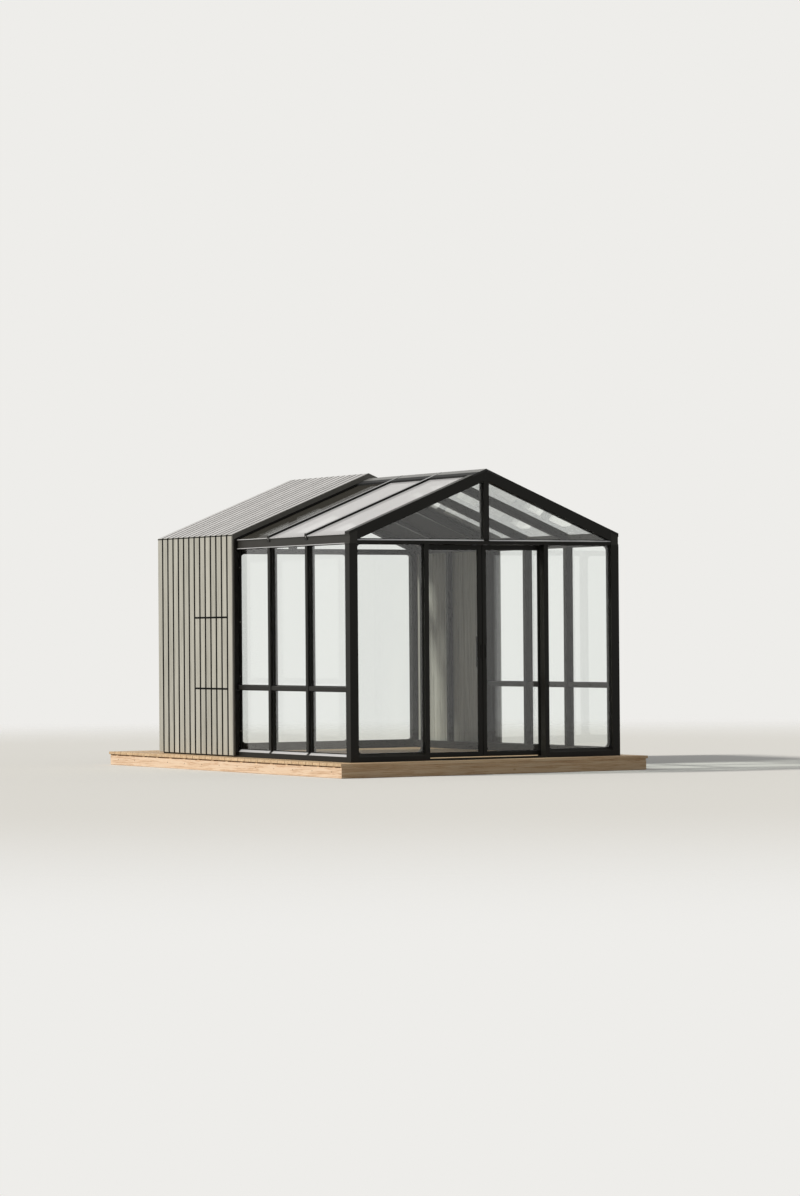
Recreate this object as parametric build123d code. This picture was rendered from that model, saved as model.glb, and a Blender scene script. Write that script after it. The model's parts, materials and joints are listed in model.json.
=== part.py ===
from build123d import *
import math
import os

# A garden glasshouse on a timber deck, in millimetres.
# The front gable faces -Y, the ridge runs along Y, and heights count from the ground at Z = 0.
# The front of the building is glazed. A clad sleeve of boards wraps the walls and roof of its rear part.
# Left is the -X side. The origin is the centre of the deck's footprint, on the ground.

# Building outline
frame_width = 3080.0  # over the outer faces of the two side walls
frame_length = 4030.0  # over the outer faces of the two gables
wall_height = 2100.0  # from the deck to the underside of the eaves beams
roof_rise_start = 98.0  # from the underside of the eaves beam to the glass line at its outer face
roof_pitch = 22.0

# Deck
deck_side_margin = 210.0
deck_front_margin = 180.0
deck_rear_margin = 890.0
deck_board_thickness = 28.0
deck_board_count = 36
deck_board_gap = 6.0
joist_depth = 112.0
joist_width = 45.0
joist_count = 7
fascia_thickness = 28.0
fascia_setback = 12.0

# Frame members
post_size = 90.0
mullion_width = 50.0
frame_depth = 90.0
side_bay_pitch = 780.0
side_mullion_count = 4
glazed_bay_count = 3
gable_side_bay = 856.0  # from the building's outer face to the centre of the gable mullion
sill_height = 78.0
sill_face_height = 50.0  # below the sloped edge
sill_slope_depth = 28.0
threshold_height = 18.0
mid_rail_bottom = 680.0
mid_rail_height = 45.0
mid_rail_depth = 70.0
mid_rail_setback = 6.0
mid_rail_slope = 8.0
tie_beam_height = 45.0
tie_slope_height = 14.0  # of the sloped edge that sheds water from the peak panes
tie_slope_depth = 14.0
lip_height = 8.0
lip_depth = 6.0
king_post_width = 60.0
ridge_beam_width = 60.0
ridge_beam_depth = 110.0
ridge_cap_reach = 150.0  # along X, from the ridge to the cap's edge
ridge_cap_thickness = 18.0
rafter_depth = 105.0
rafter_cap = 18.0
bar_depth = 70.0  # below the glass line
bar_cap = 20.0  # above the glass line
clip_thickness = 3.0
clip_drop = 26.0  # below the eaves beam's top lip

# Glass
glass_thickness = 8.0
glass_setback = 30.0  # from the frame's outer face to the pane
glass_bite = 10.0  # how far a pane reaches into each groove
pane_ridge_gap = 5.0
peak_pane_inset = 5.0  # of its sharp corner, from the eaves beam's inner face
inner_bead_width = 8.0
inner_bead_radius = 50.0  # of the opening's rounded corners

# Clad sleeve
sleeve_start = 2330.0  # from the front gable's outer face
wall_core = 30.0
roof_core_gap = 20.0  # clear of the glass line, for the bars' caps
roof_core = 27.0
cladding_thickness = 20.0
cladding_board_count = 14
cladding_gap = 22.0
cladding_clearance = 15.0  # above the deck
inner_panel = 25.0
end_trim_thickness = 15.0
hatch_first_board = 7  # boards counted from the rear, from nought
hatch_board_count = 6
hatch_bottom = 690.0
hatch_height = 720.0
hatch_gap = 6.0
hatch_rebate = 20.0

# Sliding doors in the middle bay of the front gable
door_clearance = 6.0
door_frame_width = 42.0
door_thickness = 30.0
door_mullion_overlap = 35.0
door_floor_gap = 26.0
door_head_gap = 6.0  # below the track
track_thickness = 4.0
track_shelf_width = 24.0
track_lip_height = 8.0
door_travel = 600.0
pull_length = 140.0
pull_width = 18.0
pull_depth = 8.0
guide_length = 60.0
guide_thickness = 4.0
guide_overlap = 14.0  # of its lip with the leaf's foot
stop_length = 25.0
stop_height = 20.0
wheel_radius = 14.0
wheel_thickness = 8.0
wheel_gap = 0.3
axle_radius = 4.0
hanger_width = 40.0
hanger_thickness = 4.0
hanger_drop = 50.0
hanger_inset = 60.0
handle_length = 300.0
handle_radius = 9.0
handle_foot_radius = 6.0
handle_standoff = 45.0
handle_height = 1050.0

# Places worked out from the sizes above
half_width = frame_width / 2
deck_width = frame_width + 2 * deck_side_margin
deck_length = deck_front_margin + frame_length + deck_rear_margin
deck_top = joist_depth + deck_board_thickness
front_y = -deck_length / 2 + deck_front_margin
rear_y = front_y + frame_length
beam_bottom = deck_top + wall_height
glass_line_at_eaves = beam_bottom + roof_rise_start
slope = math.tan(math.radians(roof_pitch))
slope_cosine = math.cos(math.radians(roof_pitch))
inner_half_width = half_width - frame_depth
mullion_ys = [front_y + post_size + side_bay_pitch * (i + 1) for i in range(side_mullion_count)]
gable_mullion_x = half_width - gable_side_bay
tie_top = beam_bottom + tie_beam_height
sleeve_y = front_y + sleeve_start


def roof_z(x, offset=0.0):
    """Height of the roof at x, offset square to the glass line and up."""
    return glass_line_at_eaves + (half_width - abs(x)) * slope + offset / slope_cosine


def block(x_range, y_range, z_range):
    """A box between pairs of coordinates, given in either order."""
    spans = [sorted(pair) for pair in (x_range, y_range, z_range)]
    centre = [(low + high) / 2 for low, high in spans]
    return Pos(*centre) * Box(*[high - low for low, high in spans])


def along_y(outline, y_start, y_end):
    """A prism along Y from an outline of (x, z) points."""
    face = make_face(Polyline(*[(x, y_start, z) for x, z in outline], close=True))
    return extrude(face, amount=y_end - y_start, dir=(0, 1, 0))


def along_x(outline, x_start, x_end):
    """A prism along X from an outline of (y, z) points."""
    face = make_face(Polyline(*[(x_start, y, z) for y, z in outline], close=True))
    return extrude(face, amount=x_end - x_start, dir=(1, 0, 0))


def across(part):
    """The same piece on the other side of the building."""
    return mirror(part, about=Plane.YZ)


def cut(part, *tools):
    """The part with every tool taken out of it."""
    for tool in tools:
        part = part - tool
    return part


def roof_strip(x_low, x_high, low, high, y_start, y_end):
    """A slab on the left roof slope, between two offsets from the glass line."""
    outline = [
        (x_low, roof_z(x_low, low)),
        (x_high, roof_z(x_high, low)),
        (x_high, roof_z(x_high, high)),
        (x_low, roof_z(x_low, high)),
    ]
    return along_y(outline, y_start, y_end)


def make_deck_boards():
    pitch = (deck_length + deck_board_gap) / deck_board_count
    width = pitch - deck_board_gap
    starts = [-deck_length / 2 + pitch * i for i in range(deck_board_count)]
    x_range = (-deck_width / 2, deck_width / 2)
    return [block(x_range, (start, start + width), (joist_depth, deck_top)) for start in starts]


def make_deck_fascia():
    x_outer = deck_width / 2 - fascia_setback
    y_outer = deck_length / 2 - fascia_setback
    z_range = (0, joist_depth)
    x_inner = x_outer - fascia_thickness
    sides = [block((x_outer * s, x_inner * s), (-y_outer, y_outer), z_range) for s in (-1, 1)]
    y_inner = y_outer - fascia_thickness
    ends = [block((-x_inner, x_inner), (y_outer * s, y_inner * s), z_range) for s in (-1, 1)]
    ring = sides[0] + sides[1] + ends[0] + ends[1]
    return [ring]


def make_deck_joists():
    x_inner = deck_width / 2 - fascia_setback - fascia_thickness - joist_width / 2
    y_inner = deck_length / 2 - fascia_setback - fascia_thickness
    step = 2 * x_inner / (joist_count - 1)
    centres = [-x_inner + step * i for i in range(joist_count)]
    half = joist_width / 2
    return [block((x - half, x + half), (-y_inner, y_inner), (0, joist_depth)) for x in centres]


def side_bays():
    """The Y ranges between the members of a side wall, from the front."""
    half = mullion_width / 2
    starts = [front_y + post_size] + [y + half for y in mullion_ys]
    ends = [y - half for y in mullion_ys] + [rear_y - post_size]
    return list(zip(starts, ends))


def make_wall_panes():
    """Two panes a bay in the glazed bays of the left wall."""
    x_range = (-half_width + glass_setback, -half_width + glass_setback + glass_thickness)
    levels = [
        (deck_top + sill_height, deck_top + mid_rail_bottom),
        (deck_top + mid_rail_bottom + mid_rail_height, beam_bottom),
    ]
    panes = []
    for start, end in side_bays()[:glazed_bay_count]:
        for low, high in levels:
            y_range = (start - glass_bite, end + glass_bite)
            panes.append(block(x_range, y_range, (low - glass_bite, high + glass_bite)))
    return panes


def make_gable_panes(outer_y, inward, bay_ranges, bottom):
    """One full-height pane for each bay of a gable, below the tie beam."""
    y_range = (outer_y + inward * glass_setback, outer_y + inward * (glass_setback + glass_thickness))
    z_range = (bottom - glass_bite, beam_bottom + glass_bite)
    return [block((a - glass_bite, b + glass_bite), y_range, z_range) for a, b in bay_ranges]


def gable_bays():
    """The X ranges between the members of a gable, from the left."""
    half = mullion_width / 2
    outer = half_width - post_size
    edge = gable_mullion_x
    return [(-outer, -edge - half), (-edge + half, edge - half), (edge + half, outer)]


def make_peak_pane(outer_y, inward):
    """The left pane of a gable's peak, between tie beam, rafter and king post."""
    left = -inner_half_width + peak_pane_inset
    right = -king_post_width / 2 + glass_bite
    under = rafter_cap - rafter_depth + glass_bite
    outline = [
        (left, tie_top - glass_bite),
        (right, tie_top - glass_bite),
        (right, roof_z(right, under)),
        (left, roof_z(left, under)),
    ]
    start = outer_y + inward * glass_setback
    end = start + inward * glass_thickness
    return along_y(outline, min(start, end), max(start, end))


def make_inner_bead(outer_y, inward, bay, bottom):
    """The bead round one gable pane on its inner side, with an opening of rounded corners."""
    width, height = bay[1] - bay[0], beam_bottom - bottom
    pane_face = outer_y + inward * (glass_setback + glass_thickness)
    plane = Plane(origin=(sum(bay) / 2, pane_face, bottom + height / 2), x_dir=(1, 0, 0), z_dir=(0, inward, 0))
    rim = 2 * inner_bead_width
    opening = RectangleRounded(width - rim, height - rim, inner_bead_radius)
    return extrude(plane * (Rectangle(width, height) - opening), amount=frame_depth - glass_setback - glass_thickness)


def make_roof_panes():
    """The panes of the left slope, from the eaves to the ridge."""
    panes = []
    for start, end in side_bays()[:glazed_bay_count]:
        y_start, y_end = start - glass_bite, end + glass_bite
        panes.append(roof_strip(-half_width, -pane_ridge_gap, -glass_thickness, 0, y_start, y_end))
    return panes


def make_eaves_beam():
    """The left eaves beam: a box with a thin lip along the top and bottom of its outer face."""
    face_x = -half_width + lip_depth
    lip_top = roof_z(-half_width, -glass_thickness)
    outline = [
        (-half_width, beam_bottom),
        (-inner_half_width, beam_bottom),
        (-inner_half_width, roof_z(inner_half_width, -glass_thickness)),
        (-half_width, lip_top),
        (-half_width, lip_top - lip_height),
        (face_x, lip_top - lip_height),
        (face_x, beam_bottom + lip_height),
        (-half_width, beam_bottom + lip_height),
    ]
    return along_y(outline, front_y, rear_y)


def eaves_envelope():
    """The space of the left eaves beam between its lips' outer faces, which rafters and bars stop at."""
    outline = [
        (-half_width, beam_bottom),
        (-inner_half_width, beam_bottom),
        (-inner_half_width, roof_z(inner_half_width, -glass_thickness)),
        (-half_width, roof_z(half_width, -glass_thickness)),
    ]
    return along_y(outline, front_y, rear_y)


def make_side_sill():
    """The left base sill, with a sloped outer top edge."""
    top = deck_top + sill_height
    outline = [
        (-half_width, deck_top),
        (-inner_half_width, deck_top),
        (-inner_half_width, top),
        (-half_width + sill_slope_depth, top),
        (-half_width, deck_top + sill_face_height),
    ]
    return along_y(outline, front_y + post_size, rear_y - post_size)


def make_gable_sill(outer_y, inward, x_range):
    """A base sill across one bay of a gable."""
    top = deck_top + sill_height
    inner_y = outer_y + inward * frame_depth
    outline = [
        (outer_y, deck_top),
        (inner_y, deck_top),
        (inner_y, top),
        (outer_y + inward * sill_slope_depth, top),
        (outer_y, deck_top + sill_face_height),
    ]
    return along_x(outline, *x_range)


def make_threshold():
    x_range = gable_bays()[1]
    return block(x_range, (front_y, front_y + frame_depth), (deck_top, deck_top + threshold_height))


def make_corner_post(side, outer_y, inward):
    x_range = (side * half_width, side * (half_width - post_size))
    return block(x_range, (outer_y, outer_y + inward * post_size), (deck_top, beam_bottom))


def make_side_mullions():
    half = mullion_width / 2
    x_range = (-half_width, -inner_half_width)
    z_range = (deck_top + sill_height, beam_bottom)
    return [block(x_range, (y - half, y + half), z_range) for y in mullion_ys]


def make_gable_mullion(x, outer_y, inward):
    half = mullion_width / 2
    return block((x - half, x + half), (outer_y, outer_y + inward * frame_depth), (deck_top, beam_bottom))


def make_mid_rails():
    outer = -half_width + mid_rail_setback
    inner = outer + mid_rail_depth
    low = deck_top + mid_rail_bottom
    high = low + mid_rail_height
    outline = [
        (outer, low),
        (inner, low),
        (inner, high),
        (outer + mid_rail_slope, high),
        (outer, high - mid_rail_slope),
    ]
    return [along_y(outline, *bay) for bay in side_bays()[:glazed_bay_count]]


def make_tie_beam(outer_y, inward):
    """A tie beam with a sloped lip along the top of its outer face."""
    face_y = outer_y + inward * lip_depth
    inner_y = outer_y + inward * frame_depth
    outline = [
        (face_y, beam_bottom),
        (inner_y, beam_bottom),
        (inner_y, tie_top),
        (outer_y + inward * tie_slope_depth, tie_top),
        (outer_y, tie_top - tie_slope_height),
        (face_y, tie_top - tie_slope_height),
    ]
    return along_x(outline, -inner_half_width, inner_half_width)


def make_king_post(outer_y, inward):
    half = king_post_width / 2
    top = roof_z(0, -glass_thickness) - ridge_beam_depth
    return block((-half, half), (outer_y, outer_y + inward * frame_depth), (tie_top, top))


def make_ridge_beam():
    half = ridge_beam_width / 2
    bottom = roof_z(0, -glass_thickness) - ridge_beam_depth
    outline = [
        (-half, bottom),
        (half, bottom),
        (half, roof_z(half, -glass_thickness)),
        (0, roof_z(0, -glass_thickness)),
        (-half, roof_z(half, -glass_thickness)),
    ]
    return along_y(outline, front_y, rear_y)


def make_ridge_cap():
    """The folded cap over the glazed ridge, up to the sleeve."""
    outline = [
        (-ridge_cap_reach, roof_z(ridge_cap_reach)),
        (0, roof_z(0)),
        (ridge_cap_reach, roof_z(ridge_cap_reach)),
        (ridge_cap_reach, roof_z(ridge_cap_reach, ridge_cap_thickness)),
        (0, roof_z(0, ridge_cap_thickness)),
        (-ridge_cap_reach, roof_z(ridge_cap_reach, ridge_cap_thickness)),
    ]
    return along_y(outline, front_y, sleeve_y)


def make_rafter(outer_y, inward):
    """The left rafter of a gable."""
    start, end = sorted((outer_y, outer_y + inward * frame_depth))
    return roof_strip(-half_width, -pane_ridge_gap / 2, rafter_cap - rafter_depth, rafter_cap, start, end)


def make_roof_bars():
    half = mullion_width / 2
    return [
        roof_strip(-half_width, -pane_ridge_gap / 2, -bar_depth, bar_cap, y - half, y + half)
        for y in mullion_ys
    ]


def make_bar_clips():
    """The clips that hold the feet of the glazed bars to the left eaves beam."""
    half = mullion_width / 2
    outer = -half_width - clip_thickness
    beam_face = -half_width + lip_depth
    top = roof_z(half_width, bar_cap)
    lip_bottom = roof_z(half_width, -glass_thickness) - lip_height
    outline = [
        (outer, top),
        (-half_width, top),
        (-half_width, lip_bottom),
        (beam_face, lip_bottom),
        (beam_face, lip_bottom - clip_drop),
        (outer, lip_bottom - clip_drop),
    ]
    return [along_y(outline, y - half, y + half) for y in mullion_ys[: glazed_bay_count - 1]]


def make_wall_core():
    """The left wall panel of the sleeve: a core outside the frame and thicker panels between its mullions."""
    core_top = roof_core_gap + roof_core
    outer = half_width + wall_core
    bottom = deck_top + cladding_clearance
    outline = [
        (-outer, bottom),
        (-half_width, bottom),
        (-half_width, roof_z(half_width, roof_core_gap)),
        (-outer, roof_z(outer, core_top)),
    ]
    panel = along_y(outline, sleeve_y + end_trim_thickness, rear_y - end_trim_thickness)
    z_range = (deck_top + sill_height, beam_bottom)
    for bay in side_bays()[glazed_bay_count:]:
        panel = panel + block((-half_width, -half_width + inner_panel), bay, z_range)
    return panel


def make_roof_core():
    """The left roof panel of the sleeve, thicker between the bars."""
    core_top = roof_core_gap + roof_core
    outer = half_width + wall_core
    outline = [
        (-half_width, roof_z(half_width, roof_core_gap)),
        (0, roof_z(0, roof_core_gap)),
        (0, roof_z(0, core_top)),
        (-outer, roof_z(outer, core_top)),
    ]
    panel = along_y(outline, sleeve_y + end_trim_thickness, rear_y - end_trim_thickness)
    for start, end in side_bays()[glazed_bay_count:]:
        low_x, high_x = -inner_half_width, -ridge_beam_width / 2
        panel = panel + roof_strip(low_x, high_x, -inner_panel, roof_core_gap, start, end)
    return panel


def cladding_ranges():
    """The Y range of each cladding board, from the rear."""
    pitch = (rear_y - sleeve_y - end_trim_thickness + cladding_gap) / cladding_board_count
    ends = [rear_y - pitch * i for i in range(cladding_board_count)]
    return [(end - pitch + cladding_gap, end) for end in ends]


def wall_board(y_range, z_low, z_high=None):
    """A board of the left wall, mitred to the roof boards where no top is given."""
    inner = half_width + wall_core
    outer = inner + cladding_thickness
    inner_top = roof_z(inner, roof_core_gap + roof_core) if z_high is None else z_high
    outer_top = roof_z(outer, roof_core_gap + roof_core + cladding_thickness) if z_high is None else z_high
    outline = [(-outer, z_low), (-inner, z_low), (-inner, inner_top), (-outer, outer_top)]
    return along_y(outline, *y_range)


def make_wall_boards(with_hatch):
    bottom = deck_top + cladding_clearance
    boards = []
    for i, y_range in enumerate(cladding_ranges()):
        in_hatch = hatch_first_board <= i < hatch_first_board + hatch_board_count
        if with_hatch and in_hatch:
            boards.append(wall_board(y_range, bottom, deck_top + hatch_bottom - hatch_gap))
            boards.append(wall_board(y_range, deck_top + hatch_bottom + hatch_height + hatch_gap))
        else:
            boards.append(wall_board(y_range, bottom))
    return boards


def make_roof_boards():
    inner = half_width + wall_core
    outer = inner + cladding_thickness
    low = roof_core_gap + roof_core
    high = low + cladding_thickness
    outline = [(-inner, roof_z(inner, low)), (0, roof_z(0, low)), (0, roof_z(0, high)), (-outer, roof_z(outer, high))]
    return [along_y(outline, *y_range) for y_range in cladding_ranges()]


def hatch_y_range():
    ranges = cladding_ranges()
    return ranges[hatch_first_board + hatch_board_count - 1][0], ranges[hatch_first_board][1]


def make_hatch():
    """The flush hatch of the left wall: a panel with its own boards."""
    start, end = hatch_y_range()
    low, high = deck_top + hatch_bottom, deck_top + hatch_bottom + hatch_height
    panel = block((-half_width - wall_core, -half_width), (start, end), (low, high))
    for y_range in cladding_ranges()[hatch_first_board : hatch_first_board + hatch_board_count]:
        panel = panel + wall_board(y_range, low, high)
    return panel


def hatch_hole():
    """What the hatch takes out of the wall panel: its own seat and a smaller way through."""
    start, end = hatch_y_range()
    low, high = deck_top + hatch_bottom, deck_top + hatch_bottom + hatch_height
    seat = block(
        (-half_width - wall_core, -half_width),
        (start - hatch_gap, end + hatch_gap),
        (low - hatch_gap, high + hatch_gap),
    )
    way = block(
        (-half_width - wall_core, -half_width + inner_panel),
        (start + hatch_rebate, end - hatch_rebate),
        (low + hatch_rebate, high - hatch_rebate),
    )
    return seat + way


def make_end_trim(y_start, y_end, cover, inner_offset):
    """An arched end trim of the sleeve, from the deck over both slopes to the deck."""
    outer = half_width + wall_core + cover
    bottom = deck_top + cladding_clearance
    top = roof_core_gap + roof_core + cover
    half_outline = [
        (-half_width, bottom),
        (-outer, bottom),
        (-outer, roof_z(outer, top)),
        (0, roof_z(0, top)),
        (0, roof_z(0, inner_offset)),
        (-half_width, roof_z(half_width, inner_offset)),
    ]
    left = along_y(half_outline, y_start, y_end)
    return left + across(left)


def make_track():
    """The top track on the inner face of the front tie beam."""
    back = front_y + frame_depth
    lip = back + track_thickness + track_shelf_width
    outline = [
        (back, beam_bottom),
        (lip + track_thickness, beam_bottom),
        (lip + track_thickness, beam_bottom + track_thickness + track_lip_height),
        (lip, beam_bottom + track_thickness + track_lip_height),
        (lip, beam_bottom + track_thickness),
        (back + track_thickness, beam_bottom + track_thickness),
        (back + track_thickness, tie_top),
        (back, tie_top),
    ]
    end = inner_half_width - door_clearance
    return along_x(outline, -end, end)


def door_faces():
    outer = front_y + frame_depth + door_clearance
    return outer, outer + door_thickness


def door_edges():
    """The outer and the meeting edge of the left leaf along X."""
    doorway_edge = -gable_mullion_x + mullion_width / 2
    return doorway_edge - door_mullion_overlap, -door_clearance / 2


def door_levels():
    return deck_top + door_floor_gap, beam_bottom - door_head_gap


def make_hanger(x):
    """A hanger of the left leaf: a plate on the leaf's inner face, an axle and a wheel on the track."""
    door_inner = door_faces()[1]
    shelf_top = beam_bottom + track_thickness
    wheel_z = shelf_top + wheel_gap + wheel_radius
    wheel_y = front_y + frame_depth + track_thickness + track_shelf_width / 2
    plate = block(
        (x - hanger_width / 2, x + hanger_width / 2),
        (door_inner, door_inner + hanger_thickness),
        (door_levels()[1] - hanger_drop, wheel_z + wheel_radius),
    )
    wheel = Pos(x, wheel_y, wheel_z) * Rot(90, 0, 0) * Cylinder(wheel_radius, wheel_thickness)
    reach = door_inner - wheel_y
    axle = Pos(x, wheel_y + reach / 2, wheel_z) * Rot(90, 0, 0) * Cylinder(axle_radius, reach)
    return plate + axle + wheel


def make_door_leaf():
    """The left leaf's frame with its glazing groove and its flush pull."""
    left, right = door_edges()
    low, high = door_levels()
    frame = block((left, right), door_faces(), (low, high))
    opening = block(
        (left + door_frame_width, right - door_frame_width),
        door_faces(),
        (low + door_frame_width, high - door_frame_width),
    )
    pull_centre = right - door_frame_width / 2
    pull_z = deck_top + handle_height
    pull = block(
        (pull_centre - pull_width / 2, pull_centre + pull_width / 2),
        (door_faces()[0], door_faces()[0] + pull_depth),
        (pull_z - pull_length / 2, pull_z + pull_length / 2),
    )
    return cut(frame, opening, pull, make_door_pane())


def make_door_pane():
    left, right = door_edges()
    low, high = door_levels()
    inset = door_frame_width - glass_bite
    middle = sum(door_faces()) / 2
    return block(
        (left + inset, right - inset),
        (middle - glass_thickness / 2, middle + glass_thickness / 2),
        (low + inset, high - inset),
    )


def make_door_hangers():
    left, right = door_edges()
    return [make_hanger(left + hanger_inset), make_hanger(right - hanger_inset)]


def make_door_handle():
    """The pull handle on the left leaf's inner face."""
    x = door_edges()[1] - door_frame_width / 2
    face = door_faces()[1]
    z = deck_top + handle_height
    bar = Pos(x, face + handle_standoff, z) * Cylinder(handle_radius, handle_length)
    foot_offset = handle_length / 2 - 2 * handle_radius
    for foot_z in (z - foot_offset, z + foot_offset):
        foot = Cylinder(handle_foot_radius, handle_standoff)
        bar = bar + Pos(x, face + handle_standoff / 2, foot_z) * Rot(90, 0, 0) * foot
    return bar


def make_floor_guide():
    """The guide at the foot of the left gable mullion, whose lip keeps the leaf from swinging inwards."""
    back = front_y + frame_depth
    lip = door_faces()[1] + door_clearance
    lip_top = deck_top + door_floor_gap + guide_overlap
    outline = [
        (back, deck_top),
        (lip + guide_thickness, deck_top),
        (lip + guide_thickness, lip_top),
        (lip, lip_top),
        (lip, deck_top + guide_thickness),
        (back, deck_top + guide_thickness),
    ]
    return along_x(outline, -gable_mullion_x - guide_length / 2, -gable_mullion_x + guide_length / 2)


def make_track_stop():
    """The stop on the track's shelf where the left leaf's travel ends."""
    wheel_edge = door_edges()[0] + hanger_inset - door_travel - wheel_radius
    end = wheel_edge - door_clearance
    back = front_y + frame_depth + track_thickness
    shelf_top = beam_bottom + track_thickness
    return block((end - stop_length, end), (back, back + track_shelf_width), (shelf_top, shelf_top + stop_height))


def build_nodes():
    """Every node of the part: its name and its solids."""
    bays = gable_bays()
    bottom = deck_top + sill_height
    wall_panes = make_wall_panes()
    roof_panes = make_roof_panes()
    front_panes = make_gable_panes(front_y, 1, [bays[0], bays[2]], bottom)
    rear_panes = make_gable_panes(rear_y, -1, bays, bottom)
    gables = ((front_y, 1), (rear_y, -1))
    ridge_beam = make_ridge_beam()
    ridge_cap = make_ridge_cap()
    peak_panes = [cut(make_peak_pane(*gable), ridge_beam) for gable in gables]
    peak_panes += [across(pane) for pane in peak_panes]
    gable_panes = front_panes + rear_panes
    eaves_space = eaves_envelope()
    eaves_beam = cut(make_eaves_beam(), *wall_panes, *gable_panes)

    tie_beams = [make_tie_beam(*gable) for gable in gables]
    left_posts = [make_corner_post(-1, *gable) for gable in gables]
    left_posts = [cut(post, *wall_panes, *gable_panes) for post in left_posts]
    side_mullions = [cut(mullion, *wall_panes) for mullion in make_side_mullions()]
    mullion_xs = (-gable_mullion_x, gable_mullion_x)
    gable_mullions = [make_gable_mullion(x, *gable) for gable in gables for x in mullion_xs]
    gable_mullions = [cut(mullion, *gable_panes) for mullion in gable_mullions]
    mid_rails = [cut(rail, *wall_panes) for rail in make_mid_rails()]
    side_sill = cut(make_side_sill(), *wall_panes)
    gable_sills = [make_gable_sill(front_y, 1, bay) for bay in (bays[0], bays[2])]
    gable_sills += [make_gable_sill(rear_y, -1, bay) for bay in bays]
    gable_sills = [cut(sill, *gable_panes) for sill in gable_sills]
    rafters = [
        cut(make_rafter(*gable), eaves_space, tie, ridge_beam, ridge_cap, *roof_panes, *peak_panes)
        for gable, tie in zip(gables, tie_beams)
    ]
    roof_bars = [cut(bar, eaves_space, ridge_beam, ridge_cap, *roof_panes) for bar in make_roof_bars()]
    wall_core_panel = make_wall_core()
    door_leaf = make_door_leaf()
    door_hangers = make_door_hangers()
    front_trim_cover = cladding_thickness
    bar_clips = make_bar_clips()
    inner_beads = [make_inner_bead(front_y, 1, bay, bottom) for bay in (bays[0], bays[2])]
    inner_beads += [make_inner_bead(rear_y, -1, bay, bottom) for bay in bays]

    return {
        "deck_boards": make_deck_boards(),
        "deck_fascia": make_deck_fascia(),
        "deck_joists": make_deck_joists(),
        "base_sills_sides": [side_sill, across(side_sill)],
        "base_sills_gables": gable_sills,
        "door_threshold": [make_threshold()],
        "corner_posts": left_posts + [across(post) for post in left_posts],
        "side_mullions_left": side_mullions,
        "side_mullions_right": [across(mullion) for mullion in side_mullions],
        "gable_mullions": gable_mullions,
        "mid_rails_left": mid_rails,
        "mid_rails_right": [across(rail) for rail in mid_rails],
        "eaves_beam_left": [eaves_beam],
        "eaves_beam_right": [across(eaves_beam)],
        "tie_beams": [cut(tie, *gable_panes, *peak_panes) for tie in tie_beams],
        "gable_rafters_front": [rafters[0], across(rafters[0])],
        "gable_rafters_rear": [rafters[1], across(rafters[1])],
        "king_posts": [cut(make_king_post(*gable), *peak_panes) for gable in gables],
        "ridge_beam": [ridge_beam],
        "ridge_cap": [ridge_cap],
        "roof_bars_left": roof_bars,
        "roof_bars_right": [across(bar) for bar in roof_bars],
        "roof_bar_clips": bar_clips + [across(clip) for clip in bar_clips],
        "gable_inner_beads": inner_beads,
        "wall_glass_left": wall_panes,
        "wall_glass_right": [across(pane) for pane in wall_panes],
        "gable_glass_front": front_panes,
        "gable_glass_rear": rear_panes,
        "gable_peak_glass": peak_panes,
        "roof_glass_left": roof_panes,
        "roof_glass_right": [across(pane) for pane in roof_panes],
        "clad_wall_left": [cut(wall_core_panel, hatch_hole())],
        "clad_wall_right": [across(wall_core_panel)],
        "clad_roof_left": [make_roof_core()],
        "clad_roof_right": [across(make_roof_core())],
        "wall_boards_left": make_wall_boards(with_hatch=True),
        "wall_boards_right": [across(board) for board in make_wall_boards(with_hatch=False)],
        "roof_boards_left": make_roof_boards(),
        "roof_boards_right": [across(board) for board in make_roof_boards()],
        "clad_end_trim_front": [make_end_trim(sleeve_y, sleeve_y + end_trim_thickness, front_trim_cover, 0)],
        "clad_end_trim_rear": [make_end_trim(rear_y - end_trim_thickness, rear_y, 0, roof_core_gap)],
        "side_hatch": [make_hatch()],
        "door_track": [make_track()],
        "track_stops": [make_track_stop(), across(make_track_stop())],
        "door_floor_guides": [make_floor_guide(), across(make_floor_guide())],
        "door_leaf_left": [door_leaf],
        "door_leaf_right": [across(door_leaf)],
        "door_glass_left": [make_door_pane()],
        "door_glass_right": [across(make_door_pane())],
        "door_hangers_left": door_hangers,
        "door_hangers_right": [across(hanger) for hanger in door_hangers],
        "door_handle_left": [make_door_handle()],
        "door_handle_right": [across(make_door_handle())],
    }


def write_nodes(nodes):
    """Write one file for each node."""
    os.makedirs("parts", exist_ok=True)
    for name, shapes in nodes.items():
        solids = [solid for shape in shapes for solid in shape.solids()]
        export_step(Compound(children=solids), f"parts/{name}.step")


write_nodes(build_nodes())
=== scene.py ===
"""Dresses the garden glasshouse: black metal frame, clear panes, grey boards and a pine deck.

Lengths are in metres and colours are sRGB hex values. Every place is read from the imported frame.
"""

from __future__ import annotations

import json
import logging
import math
from dataclasses import dataclass, field
from enum import Enum
from typing import Any, Callable, Iterable, Sequence

import bmesh
import bpy
from mathutils import Matrix, Vector


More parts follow.
